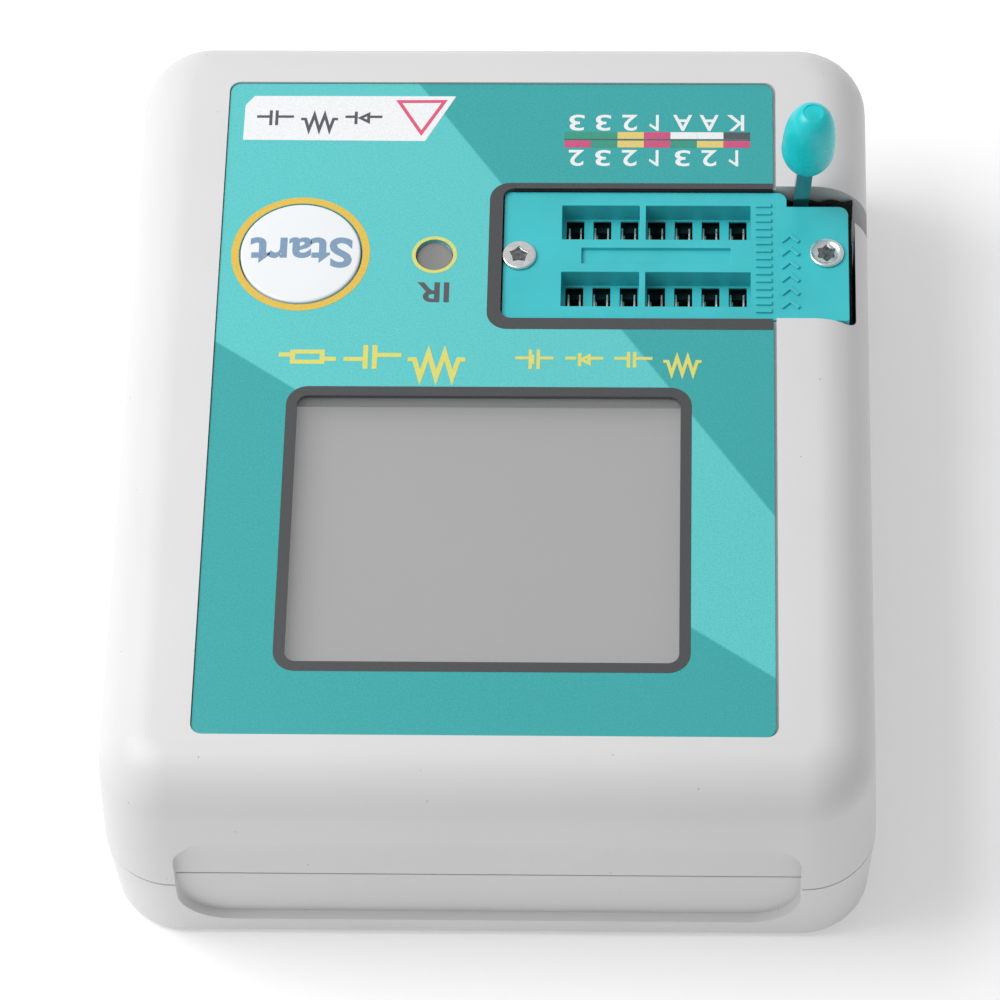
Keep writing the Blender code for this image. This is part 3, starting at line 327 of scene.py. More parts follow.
def lettering(text, centre, size, low, high, weight=0.012):
    """Upright characters as seen from the socket end, as thin closed solids of a given size."""
    curve = bpy.data.curves.new("lettering", "FONT")
    curve.body = text
    curve.offset = weight
    curve.resolution_u = 5
    holder = linked("lettering", curve)
    bpy.context.view_layer.update()
    flat = bpy.data.meshes.new_from_object(holder.evaluated_get(bpy.context.evaluated_depsgraph_get()))
    mesh = bmesh.new()
    mesh.from_mesh(flat)
    bpy.data.objects.remove(holder)
    bpy.data.meshes.remove(flat)
    bmesh.ops.remove_doubles(mesh, verts=mesh.verts, dist=1e-4)
    xs, ys = [vert.co.x for vert in mesh.verts], [vert.co.y for vert in mesh.verts]
    middle = Vector((min(xs) + max(xs), min(ys) + max(ys), 0)) / 2
    bmesh.ops.translate(mesh, vec=-middle, verts=mesh.verts)
    bmesh.ops.scale(mesh, vec=(-size[0] / (max(xs) - min(xs)), -size[1] / (max(ys) - min(ys)), 1),
                    verts=mesh.verts)
    lifted = bmesh.ops.extrude_face_region(mesh, geom=list(mesh.faces), use_keep_orig=True)
    bmesh.ops.translate(mesh, vec=(0, 0, high - low), verts=verts_of(lifted))
    bmesh.ops.recalc_face_normals(mesh, faces=mesh.faces)
    bmesh.ops.translate(mesh, vec=(centre[0], centre[1], low), verts=mesh.verts)
    return mesh


def gathered(meshes):
    """Several separate solids as one mesh."""
    whole = bmesh.new()
    for mesh in meshes:
        data = bpy.data.meshes.new("part")
        mesh.to_mesh(data)
        mesh.free()
        whole.from_mesh(data)
        bpy.data.meshes.remove(data)
    return whole


def turn(mesh, matrix):
    """Moves or turns a mesh and gives it back."""
    bmesh.ops.transform(mesh, matrix=matrix, verts=mesh.verts)
    return mesh


def lean_in(mesh, height, inset, half_x, half_y):
    """Moves one end of a block inwards, for the mould's draft."""
    verts = [vert for vert in mesh.verts if abs(vert.co.z - height) < MM / 100]
    bmesh.ops.scale(mesh, vec=(1 - inset / half_x, 1 - inset / half_y, 1.0), verts=verts)


def round_rim(mesh, height, radius, segments):
    """Rounds the edge round the flat face at one height."""
    face = next(face for face in mesh.faces if all(abs(v.co.z - height) < MM / 100 for v in face.verts))
    round_edges(mesh, list(face.edges), radius, segments)


def linked(name, data):
    """New object in the scene."""
    piece = bpy.data.objects.new(name, data)
    bpy.context.scene.collection.objects.link(piece)
    return piece


def as_object(name, mesh):
    """Object that holds a mesh."""
    data = bpy.data.meshes.new(name)
    mesh.to_mesh(data)
    mesh.free()
    return linked(name, data)


def shape(piece, operation, *tools):
    """Cuts or joins tool meshes into a piece with an exact Boolean and keeps the result."""
    for mesh in tools:
        tool = as_object("tool", mesh)
        step = piece.modifiers.new("step", "BOOLEAN")
        step.operation = operation
        step.solver = "EXACT"
        step.object = tool
        tool_data, old = tool.data, piece.data
        shaped = piece.evaluated_get(bpy.context.evaluated_depsgraph_get())
        result = bpy.data.meshes.new_from_object(shaped)
        piece.modifiers.remove(step)
        piece.data = result
        bpy.data.objects.remove(tool)
        bpy.data.meshes.remove(tool_data)
        bpy.data.meshes.remove(old)
        result.name = piece.name
        weld(result)


def weld(data):
    """Takes out the micrometre slivers that an exact Boolean can leave."""
    mesh = bmesh.new()
    mesh.from_mesh(data)
    bmesh.ops.dissolve_degenerate(mesh, edges=mesh.edges, dist=MM / 2000)
    mesh.to_mesh(data)
    mesh.free()


def cut(piece, *tools):
    """Takes tool meshes away from a piece."""
    shape(piece, "DIFFERENCE", *tools)


def join(piece, *tools):
    """Adds tool meshes to a piece."""
    shape(piece, "UNION", *tools)


def soften(piece, radius, angle=40, segments=2):
    """Small moulded or stamped radius on a piece's sharp edges."""
    edge = piece.modifiers.new("edge", "BEVEL")
    edge.width = radius
    edge.segments = segments
    edge.limit_method = "ANGLE"
    edge.angle_limit = radians(angle)
    edge.harden_normals = True
    edge.use_clamp_overlap = True
    edge.miter_outer = "MITER_ARC"


def finished(piece, material, body, slot, *stands_for, sharp=35):
    """Shades a piece, gives it its material and hands it to its body."""
    if isinstance(piece, tuple):
        piece = as_object(*piece)
    piece.data.materials.clear()
    piece.data.materials.append(material)
    piece.data.shade_smooth()
    piece.data.set_sharp_from_angle(angle=radians(sharp))
    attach(piece, body)
    if stands_for:
        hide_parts(*stands_for)
    return piece


# ---------------------------------------------------------------- material tools
def add_node(material, kind, sockets=None, **settings):
    """Adds a shader node; sockets maps an input to a value or to another node's output."""
    tree = material.node_tree
    node = tree.nodes.new(kind)
    for name, value in settings.items():
        setattr(node, name, value)
    for key, value in (sockets or {}).items():
        if isinstance(value, bpy.types.NodeSocket):
            tree.links.new(value, node.inputs[key])
        else:
            node.inputs[key].default_value = value
    return node


def plain(name, tone, roughness, metallic=0.0, **sockets):
    """New material whose constant values sit on the shader's own sockets."""
    material = bpy.data.materials.new(name)
    material.use_nodes = True
    shader = material.node_tree.nodes["Principled BSDF"]
    shader.inputs["Base Color"].default_value = (*tone, 1.0)
    shader.inputs["Roughness"].default_value = roughness
    shader.inputs["Metallic"].default_value = metallic
    for key, value in sockets.items():
        shader.inputs[key.replace("_", " ")].default_value = value
    return material


def drive(material, socket, output):
    """Feeds one of the shader's sockets."""
    material.node_tree.links.new(output, material.node_tree.nodes["Principled BSDF"].inputs[socket])


def where(material):
    """Place on the object, in metres."""
    return add_node(material, "ShaderNodeTexCoord").outputs["Object"]


def texture(material, size, detail=3.0, stretch=(1, 1, 1)):
    """Noise whose features have a real size in metres, drawn out along an axis where stretched."""
    place = add_node(material, "ShaderNodeMapping", {"Vector": where(material), "Scale": stretch})
    noise = add_node(material, "ShaderNodeTexNoise",
                     {"Vector": place.outputs[0], "Scale": 1 / size, "Detail": detail})
    return noise.outputs[0]


def mixed(material, share, first, second):
    """Colour between two others; a colour may be a value or another node's output."""
    first = first if isinstance(first, bpy.types.NodeSocket) else (*first, 1.0)
    second = second if isinstance(second, bpy.types.NodeSocket) else (*second, 1.0)
    return add_node(material, "ShaderNodeMix", {0: share, 6: first, 7: second}, data_type="RGBA").outputs[2]


def spread(material, share, low, high, start=0.3, end=0.7):
    """Number between low and high as a share runs from start to end."""
    return add_node(material, "ShaderNodeMapRange",
                    {"Value": share, "From Min": start, "From Max": end, "To Min": low, "To Max": high}
                    ).outputs[0]


def shaded(tone, factor):
    """Darker or paler version of a tone."""
    return tuple(min(1.0, part * factor) for part in tone)


def mottle(material, share, first, second):
    """Base colour that wanders between two tones."""
    drive(material, "Base Color", mixed(material, spread(material, share, 0.0, 1.0), first, second))


def relief(material, height, depth, strength=1.0):
    """Bump of a real depth from a height between 0 and 1."""
    bump = add_node(material, "ShaderNodeBump", {"Height": height, "Distance": depth, "Strength": strength})
    drive(material, "Normal", bump.outputs[0])


def moulded(name, tone, roughness, grain=0.25 * MM, patch=9 * MM, wander=0.03, **sockets):
    """Injection-moulded plastic: faint flow patches in the colour, and a fine eroded grain."""
    material = plain(name, tone, roughness, **sockets)
    flow = texture(material, patch, 2.0)
    mottle(material, flow, shaded(tone, 1 - wander), shaded(tone, 1 + wander))
    fine = texture(material, grain, 4.0)
    drive(material, "Roughness", spread(material, fine, roughness - 0.05, roughness + 0.06))
    relief(material, fine, 0.006 * MM)
    return material


def case_abs(tone):
    """ABS, injection moulded with a satin eroded finish; a few dark specks sit in the pale plastic."""
    material = moulded("moulded ABS", tone, 0.42, grain=0.28 * MM, patch=14 * MM, wander=0.012)
    shader = material.node_tree.nodes["Principled BSDF"]
    base = shader.inputs["Base Color"].links[0].from_socket
    cells = add_node(material, "ShaderNodeTexVoronoi", {"Vector": where(material), "Scale": 1 / (2.5 * MM)})
    specks = spread(material, cells.outputs["Distance"], 0.6, 0.0, start=0.02, end=0.045)
    drive(material, "Base Color", mixed(material, specks, base, shaded(tone, 0.35)))
    return material


def beyond_line(material, place, start, end, softness=0.12 * MM):
    """1 on the left of a straight line on the overlay, 0 on its right, with a soft edge."""
    along = (Vector(end) - Vector(start)).normalized()
    normal = Vector((-along.y, along.x, 0))
    reach = normal.dot(Vector((*start, 0)))
    distance = add_node(material, "ShaderNodeVectorMath", {0: place, 1: normal}, operation="DOT_PRODUCT")
    return spread(material, distance.outputs["Value"], 0.0, 1.0, reach - softness, reach + softness)


def printed_film(settings):
    """Polyester film, printed on its back in two teals; its matt coating shows as a fine sparkle."""
    material = plain("printed polyester film", settings.teal, 0.34, Specular_IOR_Level=0.45)
    place = where(material)
    centre = (LABEL_LOW + LABEL_HIGH) / 2
    upper = [(centre.x - 7.7 * MM, centre.y + 35.8 * MM), (centre.x + 25.8 * MM, centre.y - 12.9 * MM)]
    lower = [(centre.x - 25.9 * MM, centre.y + 6.2 * MM), (centre.x + 25.5 * MM, centre.y - 29.7 * MM)]
    below_upper = beyond_line(material, place, upper[1], upper[0])
    above_lower = beyond_line(material, place, lower[0], lower[1])
    band_share = add_node(material, "ShaderNodeMath", {0: below_upper, 1: above_lower}, operation="MULTIPLY")
    base = mixed(material, band_share.outputs[0], settings.teal, settings.teal_light)
    sparkle = texture(material, 0.16 * MM, 2.0)
    tinted = add_node(material, "ShaderNodeMix",
                      {0: 1.0, 6: base, 7: mixed(material, spread(material, sparkle, 0.0, 1.0, 0.25, 0.75),
                                                 (0.8, 0.84, 0.84), (1.04, 1.03, 1.03))},
                      data_type="RGBA", blend_type="MULTIPLY")
    drive(material, "Base Color", tinted.outputs[2])
    drive(material, "Roughness", spread(material, sparkle, 0.28, 0.42))
    relief(material, sparkle, 0.004 * MM)
    return material


def screen_ink(name, tone):
    """Screen-printing ink under a matt film: a dense colour with the print's fine unevenness."""
    material = plain(name, tone, 0.4)
    grain = texture(material, 0.2 * MM, 3.0)
    mottle(material, grain, shaded(tone, 0.93), shaded(tone, 1.05))
    drive(material, "Roughness", spread(material, grain, 0.34, 0.46))
    return material


def metal(name, tone, roughness, grain=0.4 * MM, stretch=(1, 1, 1), wander=0.12):
    """Bare or plated metal: its roughness and tone wander along the way it was worked."""
    material = plain(name, tone, roughness, 1.0)
    marks = texture(material, grain, 4.0, stretch)
    mottle(material, marks, shaded(tone, 1 - wander), tone)
    drive(material, "Roughness", spread(material, marks, roughness - 0.06, roughness + 0.1))
    relief(material, marks, 0.003 * MM)
    return material


def clear_acrylic():
    """Cast acrylic pane: almost invisible, with a soft gloss and the odd hazy patch."""
    material = plain("cast acrylic", (1.0, 1.0, 1.0), 0.06, Alpha=0.1, IOR=1.49)
    haze = texture(material, 11 * MM, 2.0)
    drive(material, "Roughness", spread(material, haze, 0.04, 0.1))
    return material


def board_laminate():
    """Glass-epoxy laminate under green solder mask, with copper tracks showing as paler lines."""
    tone = linear("#1D6B3C")
    material = plain("solder mask on laminate", tone, 0.32)
    tracks = add_node(material, "ShaderNodeTexBrick",
                      {"Vector": where(material), "Scale": 1.0, "Mortar Size": 0.16 * MM,
                       "Brick Width": 3.3 * MM, "Row Height": 0.9 * MM})
    drive(material, "Base Color", mixed(material, tracks.outputs["Fac"], tone, linear("#3C9A5E")))
    weave = texture(material, 0.5 * MM, 2.0)
    drive(material, "Roughness", spread(material, weave, 0.26, 0.4))
    relief(material, weave, 0.01 * MM)
    return material


def battery_foil():
    """Aluminium laminate of a pouch cell: dull silver, softly creased by the filling."""
    material = metal("aluminium pouch foil", linear("#B9BBBD"), 0.38, 2.5 * MM, wander=0.08)
    relief(material, texture(material, 3 * MM, 2.0), 0.12 * MM)
    return material


def flexible_circuit():
    """Amber polyimide film with fine copper conductors running along it."""
    tone = linear("#C06A1E")
    material = plain("polyimide film circuit", tone, 0.3)
    wires = add_node(material, "ShaderNodeTexWave",
                     {"Vector": where(material), "Scale": 1 / (3.2 * MM), "Distortion": 0.0},
                     bands_direction="Y")
    drive(material, "Base Color", mixed(material, wires.outputs["Color"], tone, linear("#7C3F12")))
    return material


def foam(name, tone):
    """Closed-cell foam, skived from a block: small pits all over."""
    material = plain(name, tone, 0.9)
    pits = add_node(material, "ShaderNodeTexVoronoi", {"Vector": where(material), "Scale": 1 / (0.5 * MM)})
    drive(material, "Base Color", mixed(material, pits.outputs["Distance"], shaded(tone, 0.6), tone))
    relief(material, pits.outputs["Distance"], 0.1 * MM)
    return material


def screen_film_painted_glow(tone):
    """Liquid-crystal glass behind a matt film; a faint glow of painted light over a base colour cut to a fifth
    stands for its reflector's even grey and washes out the shade that the window's rim throws on it.
    """
    material = plain("liquid-crystal display film with painted glow", tone, 0.5, Specular_IOR_Level=0.3, Emission_Strength=0.5,
                     Emission_Color=(*tone, 1.0))
    cloud = texture(material, 6 * MM, 2.0)
    # Base colour cut to a fifth: the glow above is painted light that makes up the rest of the grey.
    mottle(material, cloud, shaded(tone, 0.2), shaded(tone, 0.21))
    drive(material, "Roughness", spread(material, cloud, 0.46, 0.54))
    return material


# ---------------------------------------------------------------- case
def grip_recess(settings, end):
    """Cutter for the recess in the end wall on side end (-1 near, 1 far)."""
    left, right = -settings.grip_width / 2, settings.grip_width / 2
    low, high = SEAM - settings.grip_height / 2, SEAM + settings.grip_height / 2
    corners = [(left, low, settings.grip_lower), (right, low, settings.grip_lower),
               (right, high, settings.grip_upper), (left, high, settings.grip_upper)]
    mesh = plate(corners, HALF_Y - settings.grip_depth, HALF_Y + FAR, 10)
    turn(mesh, Matrix.Rotation(pi / 2, 4, "X"))
    return turn(mesh, Matrix.Rotation(pi, 4, "Z")) if end > 0 else mesh


def charging_opening(low, high):
    """Cutter for the charging inlet in the far wall."""
    inlet_low, inlet_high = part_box("usb_socket")
    return block((inlet_low.x - GAP, inlet_high.y - MM, low), (inlet_high.x + GAP, HALF_Y + FAR, high))


def bosses(node, radius, bore, low, high):
    """Posts and bores for the four screws of one kind."""
    centres = [middle_of(f"{node}_{number}") for number in (1, 2, 3, 4)]
    posts = [rod(centre, low, high, radius) for centre in centres]
    bores = [rod(centre, low - MM, high - 2 * GAP, bore, 20) for centre in centres]
    return gathered(posts), gathered(bores)


class TESTER_OT_upper_shell(bpy.types.Operator):
    """Lid half of the case, with its pocket, openings and grip recesses"""
    bl_idname = "tester.upper_shell"
    bl_label = "Upper shell"

    def execute(self, context):
        case, film = context.scene.tester_case, context.scene.tester_print
        controls = context.scene.tester_controls
        start, top = SHELL_LOW.z - 0.1 * MM, SHELL_HIGH.z
        outside = block((-HALF_X, -HALF_Y, start), (HALF_X, HALF_Y, top), case.upright_radius)
        lean_in(outside, top, case.draft, HALF_X, HALF_Y)
        round_rim(outside, top, case.top_radius, 12)
        inner_x, inner_y = HALF_X - case.wall, HALF_Y - case.wall
        lid_under = top - case.lid
        inside = block((-inner_x, -inner_y, start - MM), (inner_x, inner_y, lid_under),
                       case.upright_radius - case.wall, 8)
        lean_in(inside, lid_under, case.draft, inner_x, inner_y)
        round_rim(inside, lid_under, case.top_radius - case.lid, 5)
        shell = as_object("case_upper_shell", outside)
        cut(shell, inside)
        board_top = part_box("main_board")[1].z
        posts, bores = bosses("case_screw", 2.9 * MM, SCREW_BORE, start, lid_under + GAP)
        join(shell, posts)
        cut(shell, bores)
        posts, bores = bosses("board_screw", 2.2 * MM, 1.0 * MM, board_top + GAP, lid_under + GAP)
        join(shell, posts)
        cut(shell, bores)
        near = film.pocket_gap
        pocket_low = Vector((LABEL_LOW.x - near, LABEL_LOW.y - near, POCKET_FLOOR))
        pocket_high = Vector((LABEL_HIGH.x + film.pocket_right, LABEL_HIGH.y + near, FAR))
        cut(shell, block(pocket_low, pocket_high, film.film_radius + near, 6))
        cut(shell, block(PANE_LOW - Vector((GAP, GAP, FAR / 10)), PANE_HIGH + Vector((GAP, GAP, FAR)),
                         film.window_radius, 4))
        cut(shell, rod(BUTTON, lid_under - MM, top + FAR, controls.cap_radius + controls.running_gap / 2, 96))
        cut(shell, rod(INFRARED, lid_under - MM, top + FAR, controls.infrared_radius, 40))
        left, near, far = COVER_LOW.x - GAP / 2, COVER_LOW.y - GAP / 2, COVER_HIGH.y + GAP
        right = HALF_X - case.draft - case.notch_wall
        cut(shell, plate([(left, near, MM), (right, near, MM), (right, far, GAP), (left, far, MM)],
                         start + MM, top + FAR))
        cut(shell, block((right - MM, far - case.lever_slot, LEVER_PIVOT.z - 4.1 * MM),
                         (HALF_X + FAR, far, top + FAR)))
        cut(shell, grip_recess(case, -1), grip_recess(case, 1))
        cut(shell, charging_opening(start - MM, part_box("usb_socket")[1].z + GAP))
        soften(shell, case.edge_radius)
        finished(shell, case_abs(case.plastic), "case", "case_plastic", "upper_shell")
        return {"FINISHED"}


class TESTER_OT_lower_shell(bpy.types.Operator):
    """Tray half of the case, with its lip, screw wells and battery ribs"""
    bl_idname = "tester.lower_shell"
    bl_label = "Lower shell"

    def execute(self, context):
        case = context.scene.tester_case
        rim = SHELL_LOW.z - GAP
        outside = block((-HALF_X, -HALF_Y, 0), (HALF_X, HALF_Y, rim), case.upright_radius)
        lean_in(outside, 0, case.draft, HALF_X, HALF_Y)
        round_rim(outside, 0, case.foot_radius, 5)
        shell = as_object("case_lower_shell", outside)
        lip_out = case.wall + GAP
        lip_in = lip_out + case.lip
        join(shell, block((lip_out - HALF_X, lip_out - HALF_Y, rim - 2 * MM),
                          (HALF_X - lip_out, HALF_Y - lip_out, BASE_HIGH.z), case.upright_radius - lip_out))
        cut(shell, block((lip_in - HALF_X, lip_in - HALF_Y, case.floor),
                         (HALF_X - lip_in, HALF_Y - lip_in, FAR), case.upright_radius - lip_in, 8))
        cut(shell, block((case.wall + MM / 2 - HALF_X, case.wall + MM / 2 - HALF_Y, case.floor),
                         (HALF_X - case.wall - MM / 2, HALF_Y - case.wall - MM / 2, rim - 3 * MM),
                         case.upright_radius - case.wall, 8))
        centres = [middle_of(f"case_screw_{number}") for number in (1, 2, 3, 4)]
        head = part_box("case_screw_1")[1].x - centres[0].x
        post_radius, well_depth = 3.2 * MM, 5.5 * MM
        join(shell, gathered(rod(centre, case.floor / 2, rim, post_radius) for centre in centres))
        cut(shell, gathered(rod(centre, -MM, well_depth, head + GAP, 40) for centre in centres))
        cut(shell, gathered(rod(centre, -MM, FAR, SCREW_BORE, 24) for centre in centres))
        cell_low, cell_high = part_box("battery_cell")
        middle, run = (cell_low.y + cell_high.y) / 2, (cell_high.y - cell_low.y) / 3
        for low_x, high_x in ((cell_low.x - GAP - MM, cell_low.x - GAP),
                              (cell_high.x + GAP, cell_high.x + GAP + MM)):
            join(shell, block((low_x, middle - run, case.floor / 2),
                              (high_x, middle + run, (cell_low.z + cell_high.z) / 2)))
        cut(shell, grip_recess(case, -1), grip_recess(case, 1))
        cut(shell, charging_opening(rim - GAP / 2, FAR))
        soften(shell, case.edge_radius)
        finished(shell, case_abs(case.plastic), "case", "case_plastic", "lower_shell")
        return {"FINISHED"}


# ---------------------------------------------------------------- overlay and its print
def print_heights(settings):
    """Ink sits in the film's face and stands a hair above it."""
    return FILM_TOP - settings.ink / 2, FILM_TOP + settings.ink


def printed(name, mesh, material):
    """Piece of print on the overlay."""
    return finished((name, mesh), material, "case", "printed_film")


class TESTER_OT_overlay(bpy.types.Operator):
    """Printed film in the lid's pocket, with its window and holes"""
    bl_idname = "tester.overlay"
    bl_label = "Overlay film"

    def execute(self, context):
        film, controls = context.scene.tester_print, context.scene.tester_controls
        radius = film.film_radius
        left, near = LABEL_LOW.xy
        right, far = LABEL_HIGH.xy
        opening = context.scene.tester_socket.opening + GAP
        notch_left, notch_near = COVER_LOW.x - opening, COVER_LOW.y - opening
        notch_far = COVER_HIGH.y + opening
        corners = [(left, near, radius), (right, near, radius), (right, notch_near, 0),
                   (notch_left, notch_near, radius), (notch_left, notch_far, radius), (right, notch_far, 0),
                   (right, far, radius), (left, far, radius)]
        overlay = as_object("overlay_film", plate(corners, LABEL_LOW.z, FILM_TOP))
        cut(overlay, window_block(film, GAP, LABEL_LOW.z - MM, FILM_TOP + MM))
        cut(overlay, rod(BUTTON, LABEL_LOW.z - MM, FILM_TOP + MM,
                         controls.cap_radius + controls.running_gap, 96))
        cut(overlay, rod(INFRARED, LABEL_LOW.z - MM, FILM_TOP + MM, controls.infrared_radius, 48))
        soften(overlay, 0.04 * MM, segments=1)
        finished(overlay, printed_film(film), "case", "printed_film", "overlay_label")
        return {"FINISHED"}


def window_block(film, grow, low, high):
    """Rounded block over the overlay's window, grown sideways."""
    overlap = 0.7 * MM
    reach = overlap - grow
    return block((PANE_LOW.x + reach, PANE_LOW.y + reach, low),
                 (PANE_HIGH.x - reach, PANE_HIGH.y - reach, high), film.window_radius + grow, 8)


def pane_block(grow, low, high):
    """Block over the clear pane, grown sideways."""
    return block((PANE_LOW.x - grow, PANE_LOW.y - grow, low),
                 (PANE_HIGH.x + grow, PANE_HIGH.y + grow, high))


class TESTER_OT_borders(bpy.types.Operator):
    """Printed frames and rings round the window, the socket, the button and the infrared window"""
    bl_idname = "tester.borders"
    bl_label = "Printed borders"

    def execute(self, context):
        film, controls = context.scene.tester_print, context.scene.tester_controls
        low, high = print_heights(film)
        grey = screen_ink("grey screen ink", film.border)
        # The lining hides the lid's cut wall round the window; its grey is partly painted shade, toned to blend
        # with the shadow that the window's rim throws on the screen.
        lining = as_object("window_lining",
                           pane_block(0.9 * GAP, PANE_LOW.z - MM, LABEL_LOW.z - 0.04 * MM))
        cut(lining, pane_block(0.1 * GAP, PANE_LOW.z - 2 * MM, LABEL_LOW.z))
        finished(lining, moulded("grey lining toned as painted shade", linear("#A2A3A4"), 0.5), "case",
                 "dark_plastic")
        frame_piece = as_object("print_window_border",
                                window_block(film, film.window_border, LABEL_LOW.z, high))
        cut(frame_piece, window_block(film, 0, LABEL_LOW.z - MM, high + MM))
        finished(frame_piece, grey, "case", "printed_film")
        opening = context.scene.tester_socket.opening
        inner_left, inner_near = COVER_LOW.x - opening, COVER_LOW.y - opening
        inner_far, right = COVER_HIGH.y + opening, LABEL_HIGH.x - 0.05 * MM
        wide, narrow, outer_radius = 1.25 * MM, 0.62 * MM, 1.9 * MM
        corners = [(right, inner_far + narrow, 0), (inner_left - wide, inner_far + narrow, outer_radius),
                   (inner_left - wide, inner_near - wide, outer_radius), (right, inner_near - wide, 0),
                   (right, inner_near, 0), (inner_left, inner_near, film.film_radius),
                   (inner_left, inner_far, film.film_radius), (right, inner_far, 0)]
        printed("print_socket_border", plate(corners, LABEL_LOW.z, high, 8), grey)
        yellow = screen_ink("yellow screen ink", film.yellow)
        inner = controls.cap_radius + controls.running_gap + 0.02 * MM
        printed("print_button_ring", band(BUTTON, low, high, inner, inner + film.button_ring), yellow)
        inner = controls.infrared_radius + 0.02 * MM
        printed("print_infrared_ring", band(INFRARED, low, high, inner, inner + film.infrared_ring, 64),
                screen_ink("pale yellow screen ink", film.symbol))
        return {"FINISHED"}


class TESTER_OT_pin_legend(bpy.types.Operator):
    """Colour strip and pin numbers beyond the socket, and the infrared legend"""
    bl_idname = "tester.pin_legend"
    bl_label = "Pin legend"

    def execute(self, context):
        film = context.scene.tester_print
        low, high = print_heights(film)
        inks = {key: screen_ink(f"{word} screen ink", tone) for key, word, tone in (
            ("g", "green", film.green), ("y", "amber", film.amber), ("m", "magenta", film.magenta),
            ("w", "white", film.white), ("k", "dark", film.dark))}
        strip_y = LABEL_HIGH.y - 6.58 * MM
        thick, apart = 0.79 * MM, 0.22 * MM
        half_cell = film.cell / 2 - MM / 200          # cells of one ink don't share a wall
        for row, order in (("far", "ggymwwk"), ("near", "mgymgym")):
            base = strip_y + apart / 2 if row == "far" else strip_y - apart / 2 - thick
            for ink_key in sorted(set(order)):
                cells = []
                for column, key in enumerate(order):
                    if key == ink_key:
                        x = SOCKET.x + (column - 3) * film.cell
                        cells.append(block((x - half_cell, base, low), (x + half_cell, base + thick, high)))
                printed(f"print_strip_{row}_{ink_key}", gathered(cells), inks[ink_key])
        half_strip = film.cell * len(PIN_COLUMNS) / 2
        printed("print_strip_line", block((SOCKET.x - half_strip, strip_y - apart / 4, low),
                                          (SOCKET.x + half_strip, strip_y + apart / 4, high)), inks["k"])
        rows = (("far", "3321AAK", strip_y + 2.0 * MM), ("near", "2321321", strip_y - 2.15 * MM))
        widths = {"1": 0.4, "A": 0.96, "K": 0.86}
        for row, characters, y in rows:
            signs = []
            for column, character in enumerate(characters):
                x = SOCKET.x + (column - 3) * film.cell - 0.1 * MM
                width, height = film.digit * widths.get(character, 0.76), film.digit
                if character == "1":          # a stem and its flag, without a foot
                    stem, top = x + width * 0.32, y - height / 2
                    flag = ((0.27, 0.42), (0.85, 0.86), (0.9, 0.6), (0.16, 0), (0, 0))
                    corners = [(stem, y + height / 2, 0), (stem - 0.27 * MM, y + height / 2, 0)]
                    corners += [(stem - back * MM, top + down * MM, 0) for back, down in flag]
                    signs.append(plate(corners, low, high))
                else:
                    signs.append(lettering(character, (x, y), (width, height), low, high))
            printed(f"print_pins_{row}", gathered(signs), inks["w"])
        legend = lettering("IR", (INFRARED.x, INFRARED.y - 4.27 * MM), (2.95 * MM, 2.25 * MM), low, high, 0.022)
        printed("print_infrared_legend", legend, inks["k"])
        return {"FINISHED"}


def zigzag(teeth, start, end, height):
    """Points of a resistor's zigzag with its two leads."""
    step = (end - start) / teeth
    peaks = [(start + step * (i + 0.5), height * (-1) ** i) for i in range(teeth)]
    return [(-1.0, 0.0), (start, 0.0)] + peaks + [(end, 0.0), (1.0, 0.0)]


# (points, closed) of each line of a circuit symbol that is two units long and lies along X
SYMBOLS = {
    "resistor": [(zigzag(5, -0.7, 0.7, 0.52), False)],
    "fuse": [([(-0.6, -0.3), (0.6, -0.3), (0.6, 0.3), (-0.6, 0.3)], True),
             ([(-1, 0), (-0.6, 0)], False), ([(0.6, 0), (1, 0)], False)],
    "capacitor": [([(-1, 0), (-0.16, 0)], False), ([(-0.16, -0.5), (-0.16, 0.5)], False),
                  ([(0.16, -0.5), (0.16, 0.5)], False), ([(0.16, 0), (1, 0)], False)],
    "diode": [([(-1, 0), (-0.34, 0)], False), ([(-0.34, -0.4), (-0.34, 0.4), (0.34, 0)], True),
              ([(0.34, -0.42), (0.34, 0.42)], False), ([(0.42, 0), (1, 0)], False)],
    "cell": [([(-1, 0), (-0.3, 0)], False), ([(-0.3, -0.62), (-0.3, 0.62)], False),
             ([(0.0, -0.3), (0.0, 0.3)], False), ([(0.3, -0.62), (0.3, 0.62)], False),
             ([(0.3, 0), (1, 0)], False)],
}


def printed_symbol(name, kind, centre, half_length, width, heights, material):
    """Circuit symbol whose crossing lines are joined into one thin print."""
    strokes = []
    for points, closed in SYMBOLS[kind]:
        placed = [(centre[0] - x * half_length, centre[1] - y * half_length) for x, y in points]
        strokes.append(line(placed, width, *heights, closed))
    symbol = as_object(name, strokes[0])
    join(symbol, *strokes[1:])
    return finished(symbol, material, "case", "printed_film")


class TESTER_OT_symbols(bpy.types.Operator):
    """Printed circuit symbols between the window and the socket"""
    bl_idname = "tester.symbols"
    bl_label = "Circuit symbols"

    def execute(self, context):
        film = context.scene.tester_print
        heights = print_heights(film)
        yellow = screen_ink("pale yellow symbol ink", film.symbol)
        between = (PANE_HIGH.y + COVER_LOW.y) / 2
        large = (("fuse", -17.3), ("capacitor", -11.3), ("resistor", -5.4))
        small = (("cell", 3.6), ("diode", 8.2), ("capacitor", 12.7), ("resistor", 17.2))
        for name, symbols, drop, half_length, stroke in (("print_", large, 0.5, 2.65 * MM, film.stroke),
                                                         ("print_small_", small, 0.7, 1.75 * MM,
                                                          film.stroke * 0.7)):
            for kind, x in symbols:
                printed_symbol(name + kind, kind, (x * MM, between - drop * MM), half_length, stroke,
                               heights, yellow)
        return {"FINISHED"}


